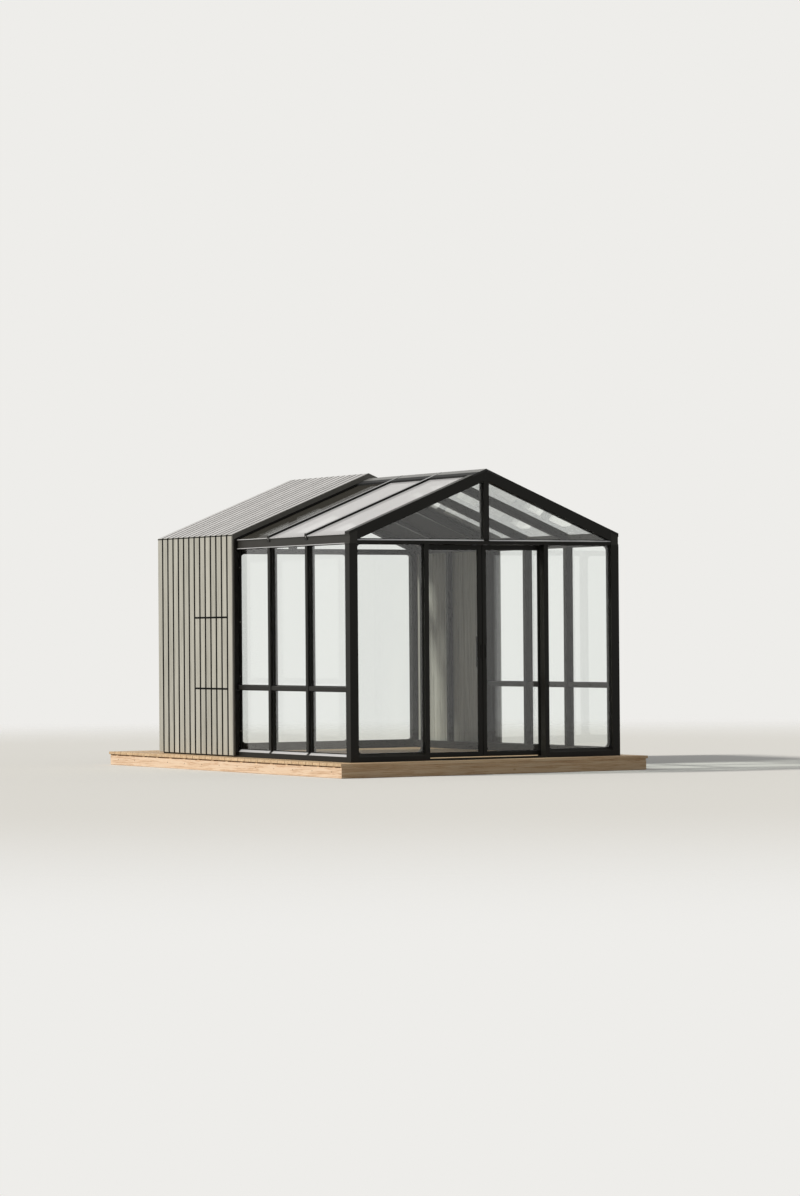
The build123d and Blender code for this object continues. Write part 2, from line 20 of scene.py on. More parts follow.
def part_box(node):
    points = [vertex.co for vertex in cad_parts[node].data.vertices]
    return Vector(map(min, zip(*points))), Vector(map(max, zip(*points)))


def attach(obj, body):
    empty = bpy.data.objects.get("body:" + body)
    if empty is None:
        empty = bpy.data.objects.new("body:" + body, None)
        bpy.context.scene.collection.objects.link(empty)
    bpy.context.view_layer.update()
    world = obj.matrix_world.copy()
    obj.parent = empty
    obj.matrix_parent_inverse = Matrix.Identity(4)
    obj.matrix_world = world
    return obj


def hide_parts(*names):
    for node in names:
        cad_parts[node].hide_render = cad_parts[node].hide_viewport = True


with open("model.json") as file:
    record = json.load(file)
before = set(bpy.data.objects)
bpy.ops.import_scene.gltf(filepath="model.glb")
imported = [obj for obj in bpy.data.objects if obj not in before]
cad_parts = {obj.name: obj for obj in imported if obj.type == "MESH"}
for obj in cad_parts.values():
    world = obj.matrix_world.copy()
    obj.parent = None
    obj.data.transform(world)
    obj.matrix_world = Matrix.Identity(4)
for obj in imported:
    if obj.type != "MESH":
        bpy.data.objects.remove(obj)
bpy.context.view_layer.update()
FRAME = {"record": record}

LOG = logging.getLogger("glasshouse")
BUILDING = "building"
SIDES = (("left", -1), ("right", 1))  # the name of each side and the sign of its X
RISE = Vector((0, 0, 1))
REAR_END = 99.0  # past the rear of every piece, along Y
WELD = 2e-5  # corners nearer to each other than this are merged
CUT_SLACK = 1e-5  # a corner nearer to a cut than this lies on it
FACE_SLACK = 1e-4  # a face whose middle is nearer to a plane than this lies on it
FLAT_ANGLE = math.radians(1)  # faces at less than this are one
SHARP_ANGLE = math.radians(25)  # edges at more than this are rounded
MOSTLY = 0.5  # a normal with more than this along an axis faces that way
SLOPING = (0.3, 0.95)  # the Z of the normal of a face that sheds water
LEAST_LEAN = 0.2  # keeps a sharp corner of an outline from running away
HEAD_TOP = 0.7  # of a screw head's radius, at its top

Material = bpy.types.Material
Mesh = bmesh.types.BMesh
Piece = bpy.types.Object
Socket = bpy.types.NodeSocket
Tree = bpy.types.NodeTree
Span = tuple[float, float]
Line = tuple[Vector, Vector]
Plank = tuple[Vector, Vector, Vector]  # both ends of its middle line, and the way that it faces


class Slot(Enum):
    """The record's material slots that pieces go to."""

    FRAME = "black_frame"
    DECK = "deck_timber"
    BOARDS = "grey_boards"
    GLASS = "clear_glass"
    WHEELS = "wheels"


class GrainAxis(Enum):
    """The axis that a board's grain runs along."""

    X = 0
    Y = 1
    Z = 2


def linear_colour(hex_value: str) -> tuple[float, float, float, float]:
    """Turn an sRGB hex value into linear light.

    Args:
        hex_value: A colour such as "#BEBCB2".

    Returns:
        Linear red, green, blue and an alpha of 1.
    """
    channels = [int(hex_value[i : i + 2], 16) / 255 for i in (1, 3, 5)]
    linear = [c / 12.92 if c <= 0.04045 else ((c + 0.055) / 1.055) ** 2.4 for c in channels]
    return (linear[0], linear[1], linear[2], 1.0)


def add_node(tree: Tree, kind: str, inputs: dict | None = None, **settings: Any) -> bpy.types.Node:
    """Add a node with its settings, values and links.

    Args:
        tree: The tree that takes the node.
        kind: The node's type name.
        inputs: Input names or indices, each with a value or a socket to link.
        **settings: Attributes to set on the node first.

    Returns:
        The new node.
    """
    node = tree.nodes.new(kind)
    for name, value in settings.items():
        setattr(node, name, value)
    for key, value in (inputs or {}).items():
        if isinstance(value, Socket):
            tree.links.new(value, node.inputs[key])
        else:
            node.inputs[key].default_value = value
    return node


def maths(tree: Tree, operation: str, *values: Any, clamp: bool = False) -> Socket:
    """Combine two or three values, and keep the result from 0 to 1 if it is clamped."""
    inputs = dict(enumerate(values))
    return add_node(tree, "ShaderNodeMath", inputs, operation=operation, use_clamp=clamp).outputs[0]


def spread(
    tree: Tree, value: Socket, low: float, high: float, start: float = 0.0, end: float = 1.0, **settings: Any
) -> Socket:
    """Carry a value from the range between start and end over to the range between low and high."""
    inputs = {"Value": value, "From Min": start, "From Max": end, "To Min": low, "To Max": high}
    return add_node(tree, "ShaderNodeMapRange", inputs, **settings).outputs[0]


def noise(tree: Tree, vector: Socket, scale: float, detail: float, **inputs: float) -> Socket:
    """Add noise that repeats as often as the scale says in each unit of the coordinates."""
    inputs = {"Vector": vector, "Scale": scale, "Detail": detail, **inputs}
    return add_node(tree, "ShaderNodeTexNoise", inputs).outputs["Fac"]


def bump(tree: Tree, height: Socket, distance: float, strength: float) -> Socket:
    """Add a relief that is as deep as the distance where the height goes from 0 to 1."""
    inputs = {"Height": height, "Distance": distance, "Strength": strength}
    return add_node(tree, "ShaderNodeBump", inputs).outputs[0]


def mixed_colour(tree: Tree, share: Socket, first: Any, second: Any) -> Socket:
    """Mix two colours, of which the second has the share."""
    inputs = {"Factor": share, 6: first, 7: second}
    return add_node(tree, "ShaderNodeMix", inputs, data_type="RGBA").outputs[2]


def mixed_shader(tree: Tree, share: Socket, first: Socket, second: Socket) -> Socket:
    """Mix two shaders, of which the second has the share."""
    return add_node(tree, "ShaderNodeMixShader", {0: share, 1: first, 2: second}).outputs[0]


def object_coordinates(tree: Tree) -> Socket:
    """The coordinates of the object's own space."""
    return add_node(tree, "ShaderNodeTexCoord").outputs["Object"]


def board_value(tree: Tree) -> Socket:
    """A random value for each loose piece of a mesh."""
    return add_node(tree, "ShaderNodeNewGeometry").outputs["Random Per Island"]


class Finish:
    """A finish that makes a material out of its own nodes."""

    name: str

    def shade(self, tree: Tree) -> Socket:
        """Add the finish's nodes and give its shader."""
        raise NotImplementedError

    def material(self) -> Material:
        """Make the material.

        Returns:
            The material.
        """
        material = bpy.data.materials.new(self.name)
        material.use_nodes = True
        material.node_tree.nodes.clear()
        shader = self.shade(material.node_tree)
        add_node(material.node_tree, "ShaderNodeOutputMaterial", {"Surface": shader})
        return material


@dataclass(frozen=True)
class PowderCoat(Finish):
    """Polyester powder coat on aluminium: near-black, satin, with a faint orange-peel skin and a little dust."""

    name: str = "powder_coated_aluminium"
    colour: str = "#1A1A19"
    dust: str = "#615D51"
    dust_share: float = 0.16
    film_share: float = 0.3  # of the dust, also on faces that it doesn't settle on
    settling: float = 0.2  # least Z of the normal of a face that dust settles on
    smears_per_metre: float = 7.0
    roughness: float = 0.36
    roughness_range: Span = (-0.06, 0.10)
    specular: float = 0.12
    bloom: float = 0.0  # dust that shows at a low angle
    bloom_roughness: float = 0.35
    peel_mm: float = 6.0  # about 1 mm on the real coat, drawn coarser so that it shows
    peel_height: float = 0.0001

    def shade(self, tree: Tree) -> Socket:
        """Add the coat's nodes.

        Args:
            tree: The material's tree.

        Returns:
            The shader.
        """
        coordinates = object_coordinates(tree)
        peel = noise(tree, coordinates, scale=1000 / self.peel_mm, detail=2.0)
        smears = noise(tree, coordinates, scale=self.smears_per_metre, detail=5.0)
        normal = add_node(tree, "ShaderNodeNewGeometry").outputs["Normal"]
        up = add_node(tree, "ShaderNodeSeparateXYZ", {0: normal}).outputs["Z"]
        settled = maths(tree, "MULTIPLY", smears, spread(tree, up, 0.0, self.dust_share, self.settling))
        film = maths(tree, "ADD", settled, self.dust_share * self.film_share)
        smooth, rough = (self.roughness + change for change in self.roughness_range)
        inputs = {
            "Base Color": mixed_colour(tree, film, linear_colour(self.colour), linear_colour(self.dust)),
            "Roughness": spread(tree, smears, smooth, rough),
            "Normal": bump(tree, peel, self.peel_height, strength=0.5),
            "Specular IOR Level": self.specular,
            "Sheen Weight": self.bloom,
            "Sheen Roughness": self.bloom_roughness,
        }
        return add_node(tree, "ShaderNodeBsdfPrincipled", inputs).outputs[0]


@dataclass(frozen=True)
class Timber(Finish):
    """Planed or sawn softwood: growth rings drawn out along the board, fine fibres, and a few knots."""

    name: str
    axis: GrainAxis
    pale: str
    middle: str
    dark: str
    tone_stops: tuple[float, ...] = (0.15, 0.45, 0.85)  # the figure where it is dark, middle and pale
    ring_mm: float = 14.0
    bands: float = 6.0  # rings in each swing of their noise
    ring_share: float = 0.55  # of the figure, where the fibres have the rest
    fibre_mm: float = 2.2
    stretch: float = 26.0
    fibre_stretch: float = 1.6  # of the fibres, over the rings
    knot_strength: float = 0.5
    knot_spacing_mm: float = 330.0
    knot_stretch: float = 1.7
    knot_edge: Span = (0.02, 0.06)  # where a knot fades, in knot spacings
    board_variation: float = 0.12
    pale_share: float = 0.4  # of the variation, for the palest board
    roughness: float = 0.62
    roughness_range: Span = (-0.08, 0.14)
    specular: float = 0.35
    relief: float = 0.0005

    def grain(self, tree: Tree, width_mm: float, stretch: float, shuffle: float) -> Socket:
        """Coordinates drawn out along the grain and shifted from board to board.

        Args:
            tree: The material's tree.
            width_mm: The size of one repeat across the grain.
            stretch: How many times longer a repeat is along the grain.
            shuffle: How far the pattern shifts from one board to the next, in metres.

        Returns:
            The coordinates.
        """
        scale = [1000 / width_mm] * 3
        scale[self.axis.value] /= stretch
        shift = {0: object_coordinates(tree), 1: maths(tree, "MULTIPLY", board_value(tree), shuffle)}
        moved = add_node(tree, "ShaderNodeVectorMath", shift, operation="ADD").outputs[0]
        return add_node(tree, "ShaderNodeMapping", {"Vector": moved, "Scale": tuple(scale)}).outputs[0]

    def wood_colour(self, tree: Tree, figure: Socket) -> Socket:
        """The wood's colour, from the dark of its rings to the pale between them.

        Args:
            tree: The material's tree.
            figure: The grain's value.

        Returns:
            The colour.
        """
        node = add_node(tree, "ShaderNodeValToRGB", {"Fac": figure})
        elements = node.color_ramp.elements
        elements.new(self.tone_stops[1])
        for element, stop, tone in zip(elements, self.tone_stops, (self.dark, self.middle, self.pale)):
            element.position = stop
            element.color = linear_colour(tone)
        return node.outputs["Color"]

    def shade(self, tree: Tree) -> Socket:
        """Add the timber's nodes.

        Args:
            tree: The material's tree.

        Returns:
            The shader.
        """
        rings_at = self.grain(tree, self.ring_mm, self.stretch, shuffle=9.0)
        warp = noise(tree, rings_at, scale=0.35, detail=2.0)
        rings = noise(tree, rings_at, scale=0.55, detail=4.0, Roughness=0.6, Distortion=0.8)
        fibres_at = self.grain(tree, self.fibre_mm, self.stretch * self.fibre_stretch, shuffle=5.0)
        fibres = noise(tree, fibres_at, scale=1.0, detail=3.0)
        bands = maths(tree, "PINGPONG", maths(tree, "MULTIPLY_ADD", rings, self.bands, warp), 1.0)
        strands = maths(tree, "MULTIPLY", fibres, 1 - self.ring_share)
        figure = maths(tree, "MULTIPLY_ADD", bands, self.ring_share, strands)
        knots_at = self.grain(tree, self.knot_spacing_mm, self.knot_stretch, shuffle=3.0)
        cells = add_node(tree, "ShaderNodeTexVoronoi", {"Vector": knots_at, "Scale": 1.0, "Randomness": 1.0})
        knot = spread(tree, cells.outputs["Distance"], self.knot_strength, 0.0, *self.knot_edge)
        knotted = mixed_colour(tree, knot, self.wood_colour(tree, figure), linear_colour(self.dark))
        palest = 1 + self.board_variation * self.pale_share
        toned = {0: knotted, "Scale": spread(tree, board_value(tree), 1 - self.board_variation, palest)}
        smooth, rough = (self.roughness + change for change in self.roughness_range)
        inputs = {
            "Base Color": add_node(tree, "ShaderNodeVectorMath", toned, operation="SCALE").outputs[0],
            "Roughness": spread(tree, fibres, smooth, rough),
            "Normal": bump(tree, figure, self.relief, strength=0.6),
            "Specular IOR Level": self.specular,
        }
        return add_node(tree, "ShaderNodeBsdfPrincipled", inputs).outputs[0]


@dataclass(frozen=True)
class Decking(Timber):
    """Pine planks, with closer rings and more knots."""

    ring_mm: float = 11.0
    knot_strength: float = 0.85
    knot_spacing_mm: float = 260.0
    board_variation: float = 0.14
    roughness: float = 0.6
    relief: float = 0.0007


@dataclass(frozen=True)
class FloatGlass(Finish):
    """Toughened float glass: flat, clear, with the faint green of its iron. Lamps shine through it.

    Dust that settles on a sloping pane is too thin to see from above, and turns the pane pale at a low angle.
    """

    name: str = "toughened_float_glass"
    tint: str = "#FAFCFB"
    index: float = 1.52
    # the film is dust on the roof's panes, and a painted dark reflection on the panes beside the sleeve
    dust_cover: float = 0.0  # share of the pane that the dust hides when seen edge-on
    dust_falloff: float = 3.0
    dust_colour: str = "#CFCECF"

    def shade(self, tree: Tree) -> Socket:
        """Add the glass's nodes.

        Args:
            tree: The material's tree.

        Returns:
            The shader.
        """
        tint = linear_colour(self.tint)
        inputs = {"Base Color": tint, "Roughness": 0.0, "IOR": self.index, "Transmission Weight": 1.0}
        glass = add_node(tree, "ShaderNodeBsdfPrincipled", inputs).outputs[0]
        if self.dust_cover:
            edge_on = add_node(tree, "ShaderNodeLayerWeight", {"Blend": 0.5}).outputs["Facing"]
            depth = maths(tree, "POWER", edge_on, self.dust_falloff)
            cover = maths(tree, "MULTIPLY", depth, self.dust_cover)
            # the film: pale dust on most roof panes, a painted dark reflection on those beside the sleeve
            dust = add_node(tree, "ShaderNodeBsdfDiffuse", {"Color": linear_colour(self.dust_colour)})
            glass = mixed_shader(tree, cover, glass, dust.outputs[0])
        clear = add_node(tree, "ShaderNodeBsdfTransparent", {"Color": tint}).outputs[0]
        path = add_node(tree, "ShaderNodeLightPath").outputs
        passing = maths(tree, "ADD", path["Is Shadow Ray"], path["Is Diffuse Ray"], clamp=True)
        return mixed_shader(tree, passing, glass, clear)


@dataclass(frozen=True)
class PlainFinish(Finish):
    """A finish of one colour whose roughness and skin vary a little, such as rubber, membrane or bare steel."""

    name: str
    colour: str
    roughness: float
    metallic: float = 0.0
    mottle_mm: float = 8.0
    relief: float = 0.0002
    roughness_range: Span = (-0.08, 0.08)

    def shade(self, tree: Tree) -> Socket:
        """Add the finish's nodes.

        Args:
            tree: The material's tree.

        Returns:
            The shader.
        """
        mottle = noise(tree, object_coordinates(tree), scale=1000 / self.mottle_mm, detail=3.0)
        smooth, rough = (self.roughness + change for change in self.roughness_range)
        inputs = {
            "Base Color": linear_colour(self.colour),
            "Metallic": self.metallic,
            "Roughness": spread(tree, mottle, smooth, rough),
            "Normal": bump(tree, mottle, self.relief, strength=0.4),
        }
        return add_node(tree, "ShaderNodeBsdfPrincipled", inputs).outputs[0]


@dataclass(frozen=True)
class FloorPaper(Finish):
    """Pale matt paper that fades out into the backdrop, and throws back less light than it shows."""

    name: str = "studio_floor"
    colour: str = "#E9E8E4"
    bounce: str = "#A3A29E"
    fade: Span = (9.0, 22.0)

    def shade(self, tree: Tree) -> Socket:
        """Add the paper's nodes.

        Args:
            tree: The material's tree.

        Returns:
            The shader.
        """
        middle = {0: object_coordinates(tree)}
        distance = add_node(tree, "ShaderNodeVectorMath", middle, operation="LENGTH").outputs["Value"]
        gone = spread(tree, distance, 0.0, 1.0, *self.fade, interpolation_type="SMOOTHSTEP")
        bounced = add_node(tree, "ShaderNodeLightPath").outputs["Is Diffuse Ray"]
        colour = mixed_colour(tree, bounced, linear_colour(self.colour), linear_colour(self.bounce))
        solid = add_node(tree, "ShaderNodeBsdfDiffuse", {"Color": colour}).outputs[0]
        return mixed_shader(tree, gone, solid, add_node(tree, "ShaderNodeBsdfTransparent").outputs[0])


def made(kind: Callable[..., Finish], *values: Any, **settings: Any) -> Any:
    """A field that holds the material of one finish."""
    return field(default_factory=lambda: kind(*values, **settings).material())


@dataclass
class FinishBox:
    """Every finish of the building, made once."""

    # Black satin powder coat of the frame.
    frame: Material = made(PowderCoat)
    # Clear panes of the walls, gables and doors.
    glass: Material = made(FloatGlass)
    # Panes of the roof, under a film of pale dust.
    roof_glass: Material = made(FloatGlass, "dusty_float_glass", dust_cover=1.0)
    # The panes beside the sleeve: a thin dark film, seen only at a low angle, which is a painted dark reflection.
    dark_reflection_glass: Material = made(
        FloatGlass, "grimy_float_glass", dust_cover=1.0, dust_falloff=1.5, dust_colour="#3A3833"
    )
    # Black coat on the eaves beams, with the dust that the roof's rain leaves there.
    dusty_coat: Material = made(
        PowderCoat, "dusty_powder_coat", colour="#292928", dust="#6B675C", dust_share=0.32
    )
    # Black cap strips on the roof bars: drawn smooth, so that they mirror the sky at a low angle.
    smooth_coat: Material = made(
        PowderCoat, "smooth_powder_coat", roughness=0.16, specular=0.5, bloom=1.0, peel_height=0.00003
    )
    # Folded sheet on top of the ridge cap, grey, lighter than the black strips on its slopes.
    ridge_sheet: Material = made(PlainFinish, "weathered_folded_sheet", "#6F6F6D", 0.42)
    # Dead matt black coat on folded flashings and pane stops; along the walls' top joint it is a painted shadow under
    # the roof's overhang.
    flashing: Material = made(
        PowderCoat, "matt_black_flashing", colour="#0E0E0D", dust_share=0.0, roughness=0.7, specular=0.05
    )
    # Butyl-black rubber strip, matt, as extruded.
    rubber: Material = made(PlainFinish, "epdm_rubber", "#161616", 0.75)
    # Stainless screw heads, dull from handling.
    stainless: Material = made(PlainFinish, "stainless_steel", "#B9B7B2", 0.32, 1.0, 3.0)
    # Bronze-coloured coating on the deck screws, worn on the heads.
    bronze: Material = made(PlainFinish, "bronzed_screw_steel", "#6A5442", 0.42, 0.6, 3.0)
    # Zinc on the door gear, with the grey bloom of hot dipping.
    zinc: Material = made(PlainFinish, "galvanised_steel", "#8E9194", 0.48, 1.0, 12.0)
    # Pale grey satin strip: a painted highlight on the frame's sloped edges and lips.
    pale_highlight: Material = made(PlainFinish, "anodised_aluminium", "#CFCFD0", 0.42, 0.3, 10.0, 0.0001)
    # The boards' grey on the sleeve's front edge, darkened: painted shade, as the edge faces away from the sun.
    edge_paint: Material = made(PlainFinish, "grey_enamel", "#5F5D57", 0.5)
    # Woven membrane behind the open joints of the boards, dull black.
    membrane: Material = made(PlainFinish, "facade_membrane", "#131312", 0.9)
    # Spruce under a warm grey opaque stain, which leaves a faint grain.
    wall_boards: Material = made(
        Timber, "grey_stained_spruce_z", GrainAxis.Z, "#BDBBB1", "#B5B3A9", "#A19F94",
        knot_strength=0.35, board_variation=0.10, roughness=0.58, relief=0.0004,
    )
    # The same boards on the roof, a little paler and cooler: painted light from the sky that the slopes face.
    roof_boards: Material = made(
        Timber, "grey_stained_spruce_roof", GrainAxis.X, "#C9C8C8", "#C5C4C4", "#BEBDBC",
        ring_mm=26.0, fibre_mm=6.0, knot_strength=0.2, board_variation=0.20, roughness=0.55, relief=0.0001,
    )
    # The side faces of the wall boards, near-black: painted shade in the joints, so that they read as lines.
    wall_groove_shade: Material = made(
        Timber, "dark_stained_edge", GrainAxis.Z, "#2B2924", "#25231F", "#1D1B18",
        knot_strength=0.2, roughness=0.75,
    )
    # The side faces of the roof boards, in the boards' own grey several shades deeper: painted shade in the joints.
    roof_groove_shade: Material = made(
        Timber, "grey_stained_edge", GrainAxis.X, "#4A4844", "#43413D", "#393733",
        ring_mm=26.0, fibre_mm=6.0, knot_strength=0.2, relief=0.0001,
    )
    # The same spruce inside, under a thinner and cooler stain: upright on the walls.
    wall_lining: Material = made(
        Timber, "grey_lining_spruce_z", GrainAxis.Z, "#A9A9A2", "#9C9C95", "#86857D", knot_strength=0.4
    )
    # The lining of the slopes, with its grain up the roof.
    roof_lining: Material = made(
        Timber, "grey_lining_spruce_x", GrainAxis.X, "#A9A9A2", "#9C9C95", "#86857D", knot_strength=0.4
    )
    # Fresh pine decking: straw yellow with pink-brown rings and a few knots.
    pine_across: Material = made(Decking, "fresh_pine_x", GrainAxis.X, "#E3CAA7", "#D9BA94", "#B9936B")
    # The same pine where it runs from front to rear.
    pine_along: Material = made(Decking, "fresh_pine_y", GrainAxis.Y, "#E3CAA7", "#D9BA94", "#B9936B")
    # The same pine along the deck's long sides, paler and pinker: painted light, for the sun that falls on the side
    # facing -X.
    planed_pine: Material = made(Decking, "planed_pine_y", GrainAxis.Y, "#F2DABF", "#EBCDAF", "#C59E7A")


def new_object(name: str, data: bpy.types.ID) -> Piece:
    """Add an object to the scene.

    Args:
        name: The object's name.
        data: Its mesh, lamp or camera.

    Returns:
        The object.
    """
    piece = bpy.data.objects.new(name, data)
    bpy.context.scene.collection.objects.link(piece)
    return piece


def merged_mesh(node: str) -> Mesh:
    """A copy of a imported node's mesh with its doubles merged and its flat faces whole.

    Args:
        node: The node's name.

    Returns:
        The copy.
    """
    mesh = bmesh.new()
    mesh.from_mesh(bpy.data.objects[node].data)
    bmesh.ops.remove_doubles(mesh, verts=mesh.verts, dist=WELD)
    bmesh.ops.dissolve_limit(mesh, angle_limit=FLAT_ANGLE, verts=mesh.verts, edges=mesh.edges)
    return mesh


def cut_along(mesh: Mesh, planes: Iterable[Line]) -> None:
    """Cut the faces of a mesh where planes go through them.

    Args:
        mesh: The mesh.
        planes: A point of each plane and its normal.
    """
    for point, normal in planes:
        geometry = mesh.verts[:] + mesh.edges[:] + mesh.faces[:]
        bmesh.ops.bisect_plane(mesh, geom=geometry, plane_co=point, plane_no=normal, dist=CUT_SLACK)


def object_from(mesh: Mesh, name: str, material: Material) -> Piece:
    """Turn a finished mesh into an object of the scene.

    Args:
        mesh: The mesh, which is freed.
        name: The new object's name.
        material: Its first material.

    Returns:
        The object.
    """
    data = bpy.data.meshes.new(name)
    mesh.to_mesh(data)
    mesh.free()
    data.materials.append(material)
    return new_object(name, data)


def softened_copy(
    node: str, material: Material, radius: float, shape: Callable[[Mesh], None] | None = None
) -> Piece:
    """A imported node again, with its sharp edges rounded.

    Args:
        node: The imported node's name.
        material: The copy's material.
        radius: The radius on its edges.
        shape: A change to the copy's shape before its edges are rounded.

    Returns:
        The copy.
    """
    mesh = merged_mesh(node)
    if shape:
        shape(mesh)
    sharp = [e for e in mesh.edges if len(e.link_faces) == 2 and e.calc_face_angle(0) > SHARP_ANGLE]
    bmesh.ops.bevel(mesh, geom=sharp, offset=radius, segments=2, profile=0.5, affect="EDGES", clamp_overlap=True)
    return object_from(mesh, f"{node}_softened", material)


def refinish(piece: Piece, material: Material, chosen: Callable[[bpy.types.MeshPolygon], bool]) -> None:
    """Give some faces of a piece another material.

    Args:
        piece: The piece.
        material: The material for the chosen faces.
        chosen: Tells if a face is one of them.
    """
    piece.data.materials.append(material)
    index = len(piece.data.materials) - 1
    for polygon in piece.data.polygons:
        if chosen(polygon):
            polygon.material_index = index


def place(piece: Piece, slot: Slot, *replaced: str, body: str = BUILDING) -> None:
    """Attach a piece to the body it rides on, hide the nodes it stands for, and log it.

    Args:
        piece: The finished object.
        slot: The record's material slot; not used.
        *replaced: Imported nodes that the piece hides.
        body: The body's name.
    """
    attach(piece, body)
    if replaced:
        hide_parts(*replaced)
    LOG.info("placed %s on %s", piece.name, body)


def dress(node: str, material: Material) -> None:
    """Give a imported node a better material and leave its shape.

    Args:
        node: The node's name.
        material: The material.
    """
    data = bpy.data.objects[node].data
    data.materials.clear()
    data.materials.append(material)


def node_body(node: str) -> str:
    """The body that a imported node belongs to, read from the record."""
    bodies = FRAME["record"]["behaviour"]["bodies"]
    return next(body for body, nodes in bodies.items() if node in nodes)


def outer_face(node: str, sign: int) -> float:
    """The X that a node reaches on the side with this sign."""
    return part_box(node)[0 if sign < 0 else 1][0]


def point_facing(tree: Tree) -> Socket:
    """The way that each point of a guide faces."""
    inputs = {"Name": "facing"}
    return add_node(tree, "GeometryNodeInputNamedAttribute", inputs, data_type="FLOAT_VECTOR").outputs["Attribute"]


def guide_curve(tree: Tree, source: bpy.types.NodeOutputs) -> Socket:
    """The edges of a guide as a curve."""
    return add_node(tree, "GeometryNodeMeshToCurve", {"Mesh": source["Geometry"]}).outputs[0]


def swept(tree: Tree, path: Socket, section: Socket) -> Socket:
    """A section swept along a path, with closed ends."""
    inputs = {"Curve": path, "Profile Curve": section, "Fill Caps": True}
    return add_node(tree, "GeometryNodeCurveToMesh", inputs).outputs[0]


def screw_heads(tree: Tree, source: bpy.types.NodeOutputs) -> Socket:
    """Screw heads on a guide's points, each turned to the point's own facing.

    Args:
        tree: The recipe's tree.
        source: The tree's inputs.

    Returns:
        The heads.
    """
    radius, height = source["Head radius"], source["Head height"]
    cone = {"Vertices": 12, "Radius Bottom": radius, "Radius Top": maths(tree, "MULTIPLY", radius, HEAD_TOP)}
    head = add_node(tree, "GeometryNodeMeshCone", {**cone, "Depth": height}).outputs["Mesh"]
    turned = add_node(tree, "FunctionNodeAlignRotationToVector", {"Vector": point_facing(tree)}, axis="Z")
    points = add_node(tree, "GeometryNodeMeshToPoints", {"Mesh": source["Geometry"]}).outputs[0]
    heads = {"Points": points, "Instance": head, "Rotation": turned.outputs[0]}
    return add_node(tree, "GeometryNodeInstanceOnPoints", heads).outputs[0]


def round_beads(tree: Tree, source: bpy.types.NodeOutputs) -> Socket:
    """A round bead along every edge of a guide."""
    circle = add_node(tree, "GeometryNodeCurvePrimitiveCircle", {"Resolution": 8, "Radius": source["Bead radius"]})
    return swept(tree, guide_curve(tree, source), circle.outputs[0])


def arrised_planks(tree: Tree, source: bpy.types.NodeOutputs) -> Socket:
    """A plank with rounded arrises along every edge of a guide, lying on the guide's own plane.

    Args:
        tree: The recipe's tree.
        source: The tree's inputs.

    Returns:
        The planks.
    """
    path = {"Curve": guide_curve(tree, source), "Normal": point_facing(tree)}
    aimed = add_node(tree, "GeometryNodeSetCurveNormal", path, mode="FREE").outputs[0]
    sides = {"Width": source["Plank thickness"], "Height": source["Plank width"]}
    section = add_node(tree, "GeometryNodeCurvePrimitiveQuadrilateral", sides).outputs[0]
    arris = {"Curve": section, "Radius": source["Arris radius"], "Count": 2}
    return swept(tree, aimed, add_node(tree, "GeometryNodeFilletCurve", arris, mode="POLY").outputs[0])


@dataclass
class NodeRecipe:
    """A Geometry Nodes tree that turns a guide mesh into finished pieces.

    Args:
        name: The tree's name.
        shape: Adds the nodes that shape the pieces.
        sizes: The name and default of each size.
    """

    name: str
    shape: Callable[[Tree, bpy.types.NodeOutputs], Socket]
    sizes: dict[str, float]
    tree: Tree = field(init=False)
    identifiers: dict[str, str] = field(init=False, default_factory=dict)

    def __post_init__(self) -> None:
        """Make the tree, with its sockets and the nodes that every recipe ends with."""
        self.tree = bpy.data.node_groups.new(self.name, "GeometryNodeTree")
        kinds = {"Geometry": "Geometry", **dict.fromkeys(self.sizes, "Float"), "Material": "Material"}
        for name, kind in kinds.items():
            socket = self.tree.interface.new_socket(name, in_out="INPUT", socket_type=f"NodeSocket{kind}")
            self.identifiers[name] = socket.identifier
            if name in self.sizes:
                socket.default_value = self.sizes[name]
        self.tree.interface.new_socket("Geometry", in_out="OUTPUT", socket_type="NodeSocketGeometry")
        source = add_node(self.tree, "NodeGroupInput").outputs
        shaped = self.shape(self.tree, source)
        real = add_node(self.tree, "GeometryNodeRealizeInstances", {0: shaped}).outputs[0]
        finish = {"Geometry": real, "Material": source["Material"]}
        finished = add_node(self.tree, "GeometryNodeSetMaterial", finish).outputs[0]
        add_node(self.tree, "NodeGroupOutput", {"Geometry": finished})

    def make(self, guide: bpy.types.Mesh, name: str, material: Material, sizes: dict[str, float]) -> Piece:
        """Run the tree on a guide mesh and keep the result as a plain mesh.

        Args:
            guide: The mesh that the tree reads.
            name: The new object's name.
            material: The result's material.
            sizes: Values for the tree's named sizes.

        Returns:
            The finished object.
        """
        piece = new_object(name, guide)
        modifier = piece.modifiers.new("recipe", "NODES")
        modifier.node_group = self.tree
        for socket, value in {"Material": material, **sizes}.items():
            modifier[self.identifiers[socket]] = value
        graph = bpy.context.evaluated_depsgraph_get()
        graph.update()
        result = bpy.data.meshes.new_from_object(piece.evaluated_get(graph), depsgraph=graph)
        piece.modifiers.remove(modifier)
        piece.data = result
        result.name = name
        return piece


def guide_mesh(
    name: str,
    points: Sequence[Vector],
    edges: Sequence[tuple[int, int]] = (),
    facings: Sequence[Vector] = (),
) -> bpy.types.Mesh:
    """A mesh of points and edges for a recipe to read.

    Args:
        name: The mesh's name.
        points: Its points.
        edges: Pairs of point numbers.
        facings: The way that each point faces, if the recipe reads it.

    Returns:
        The mesh.
    """
    mesh = bpy.data.meshes.new(name)
    mesh.from_pydata([tuple(p) for p in points], list(edges), [])
    if facings:
        attribute = mesh.attributes.new("facing", "FLOAT_VECTOR", "POINT")
        attribute.data.foreach_set("vector", [c for facing in facings for c in facing])
    return mesh


def paired(count: int) -> list[tuple[int, int]]:
    """The edges of a guide whose points come in pairs."""
    return [(2 * i, 2 * i + 1) for i in range(count)]


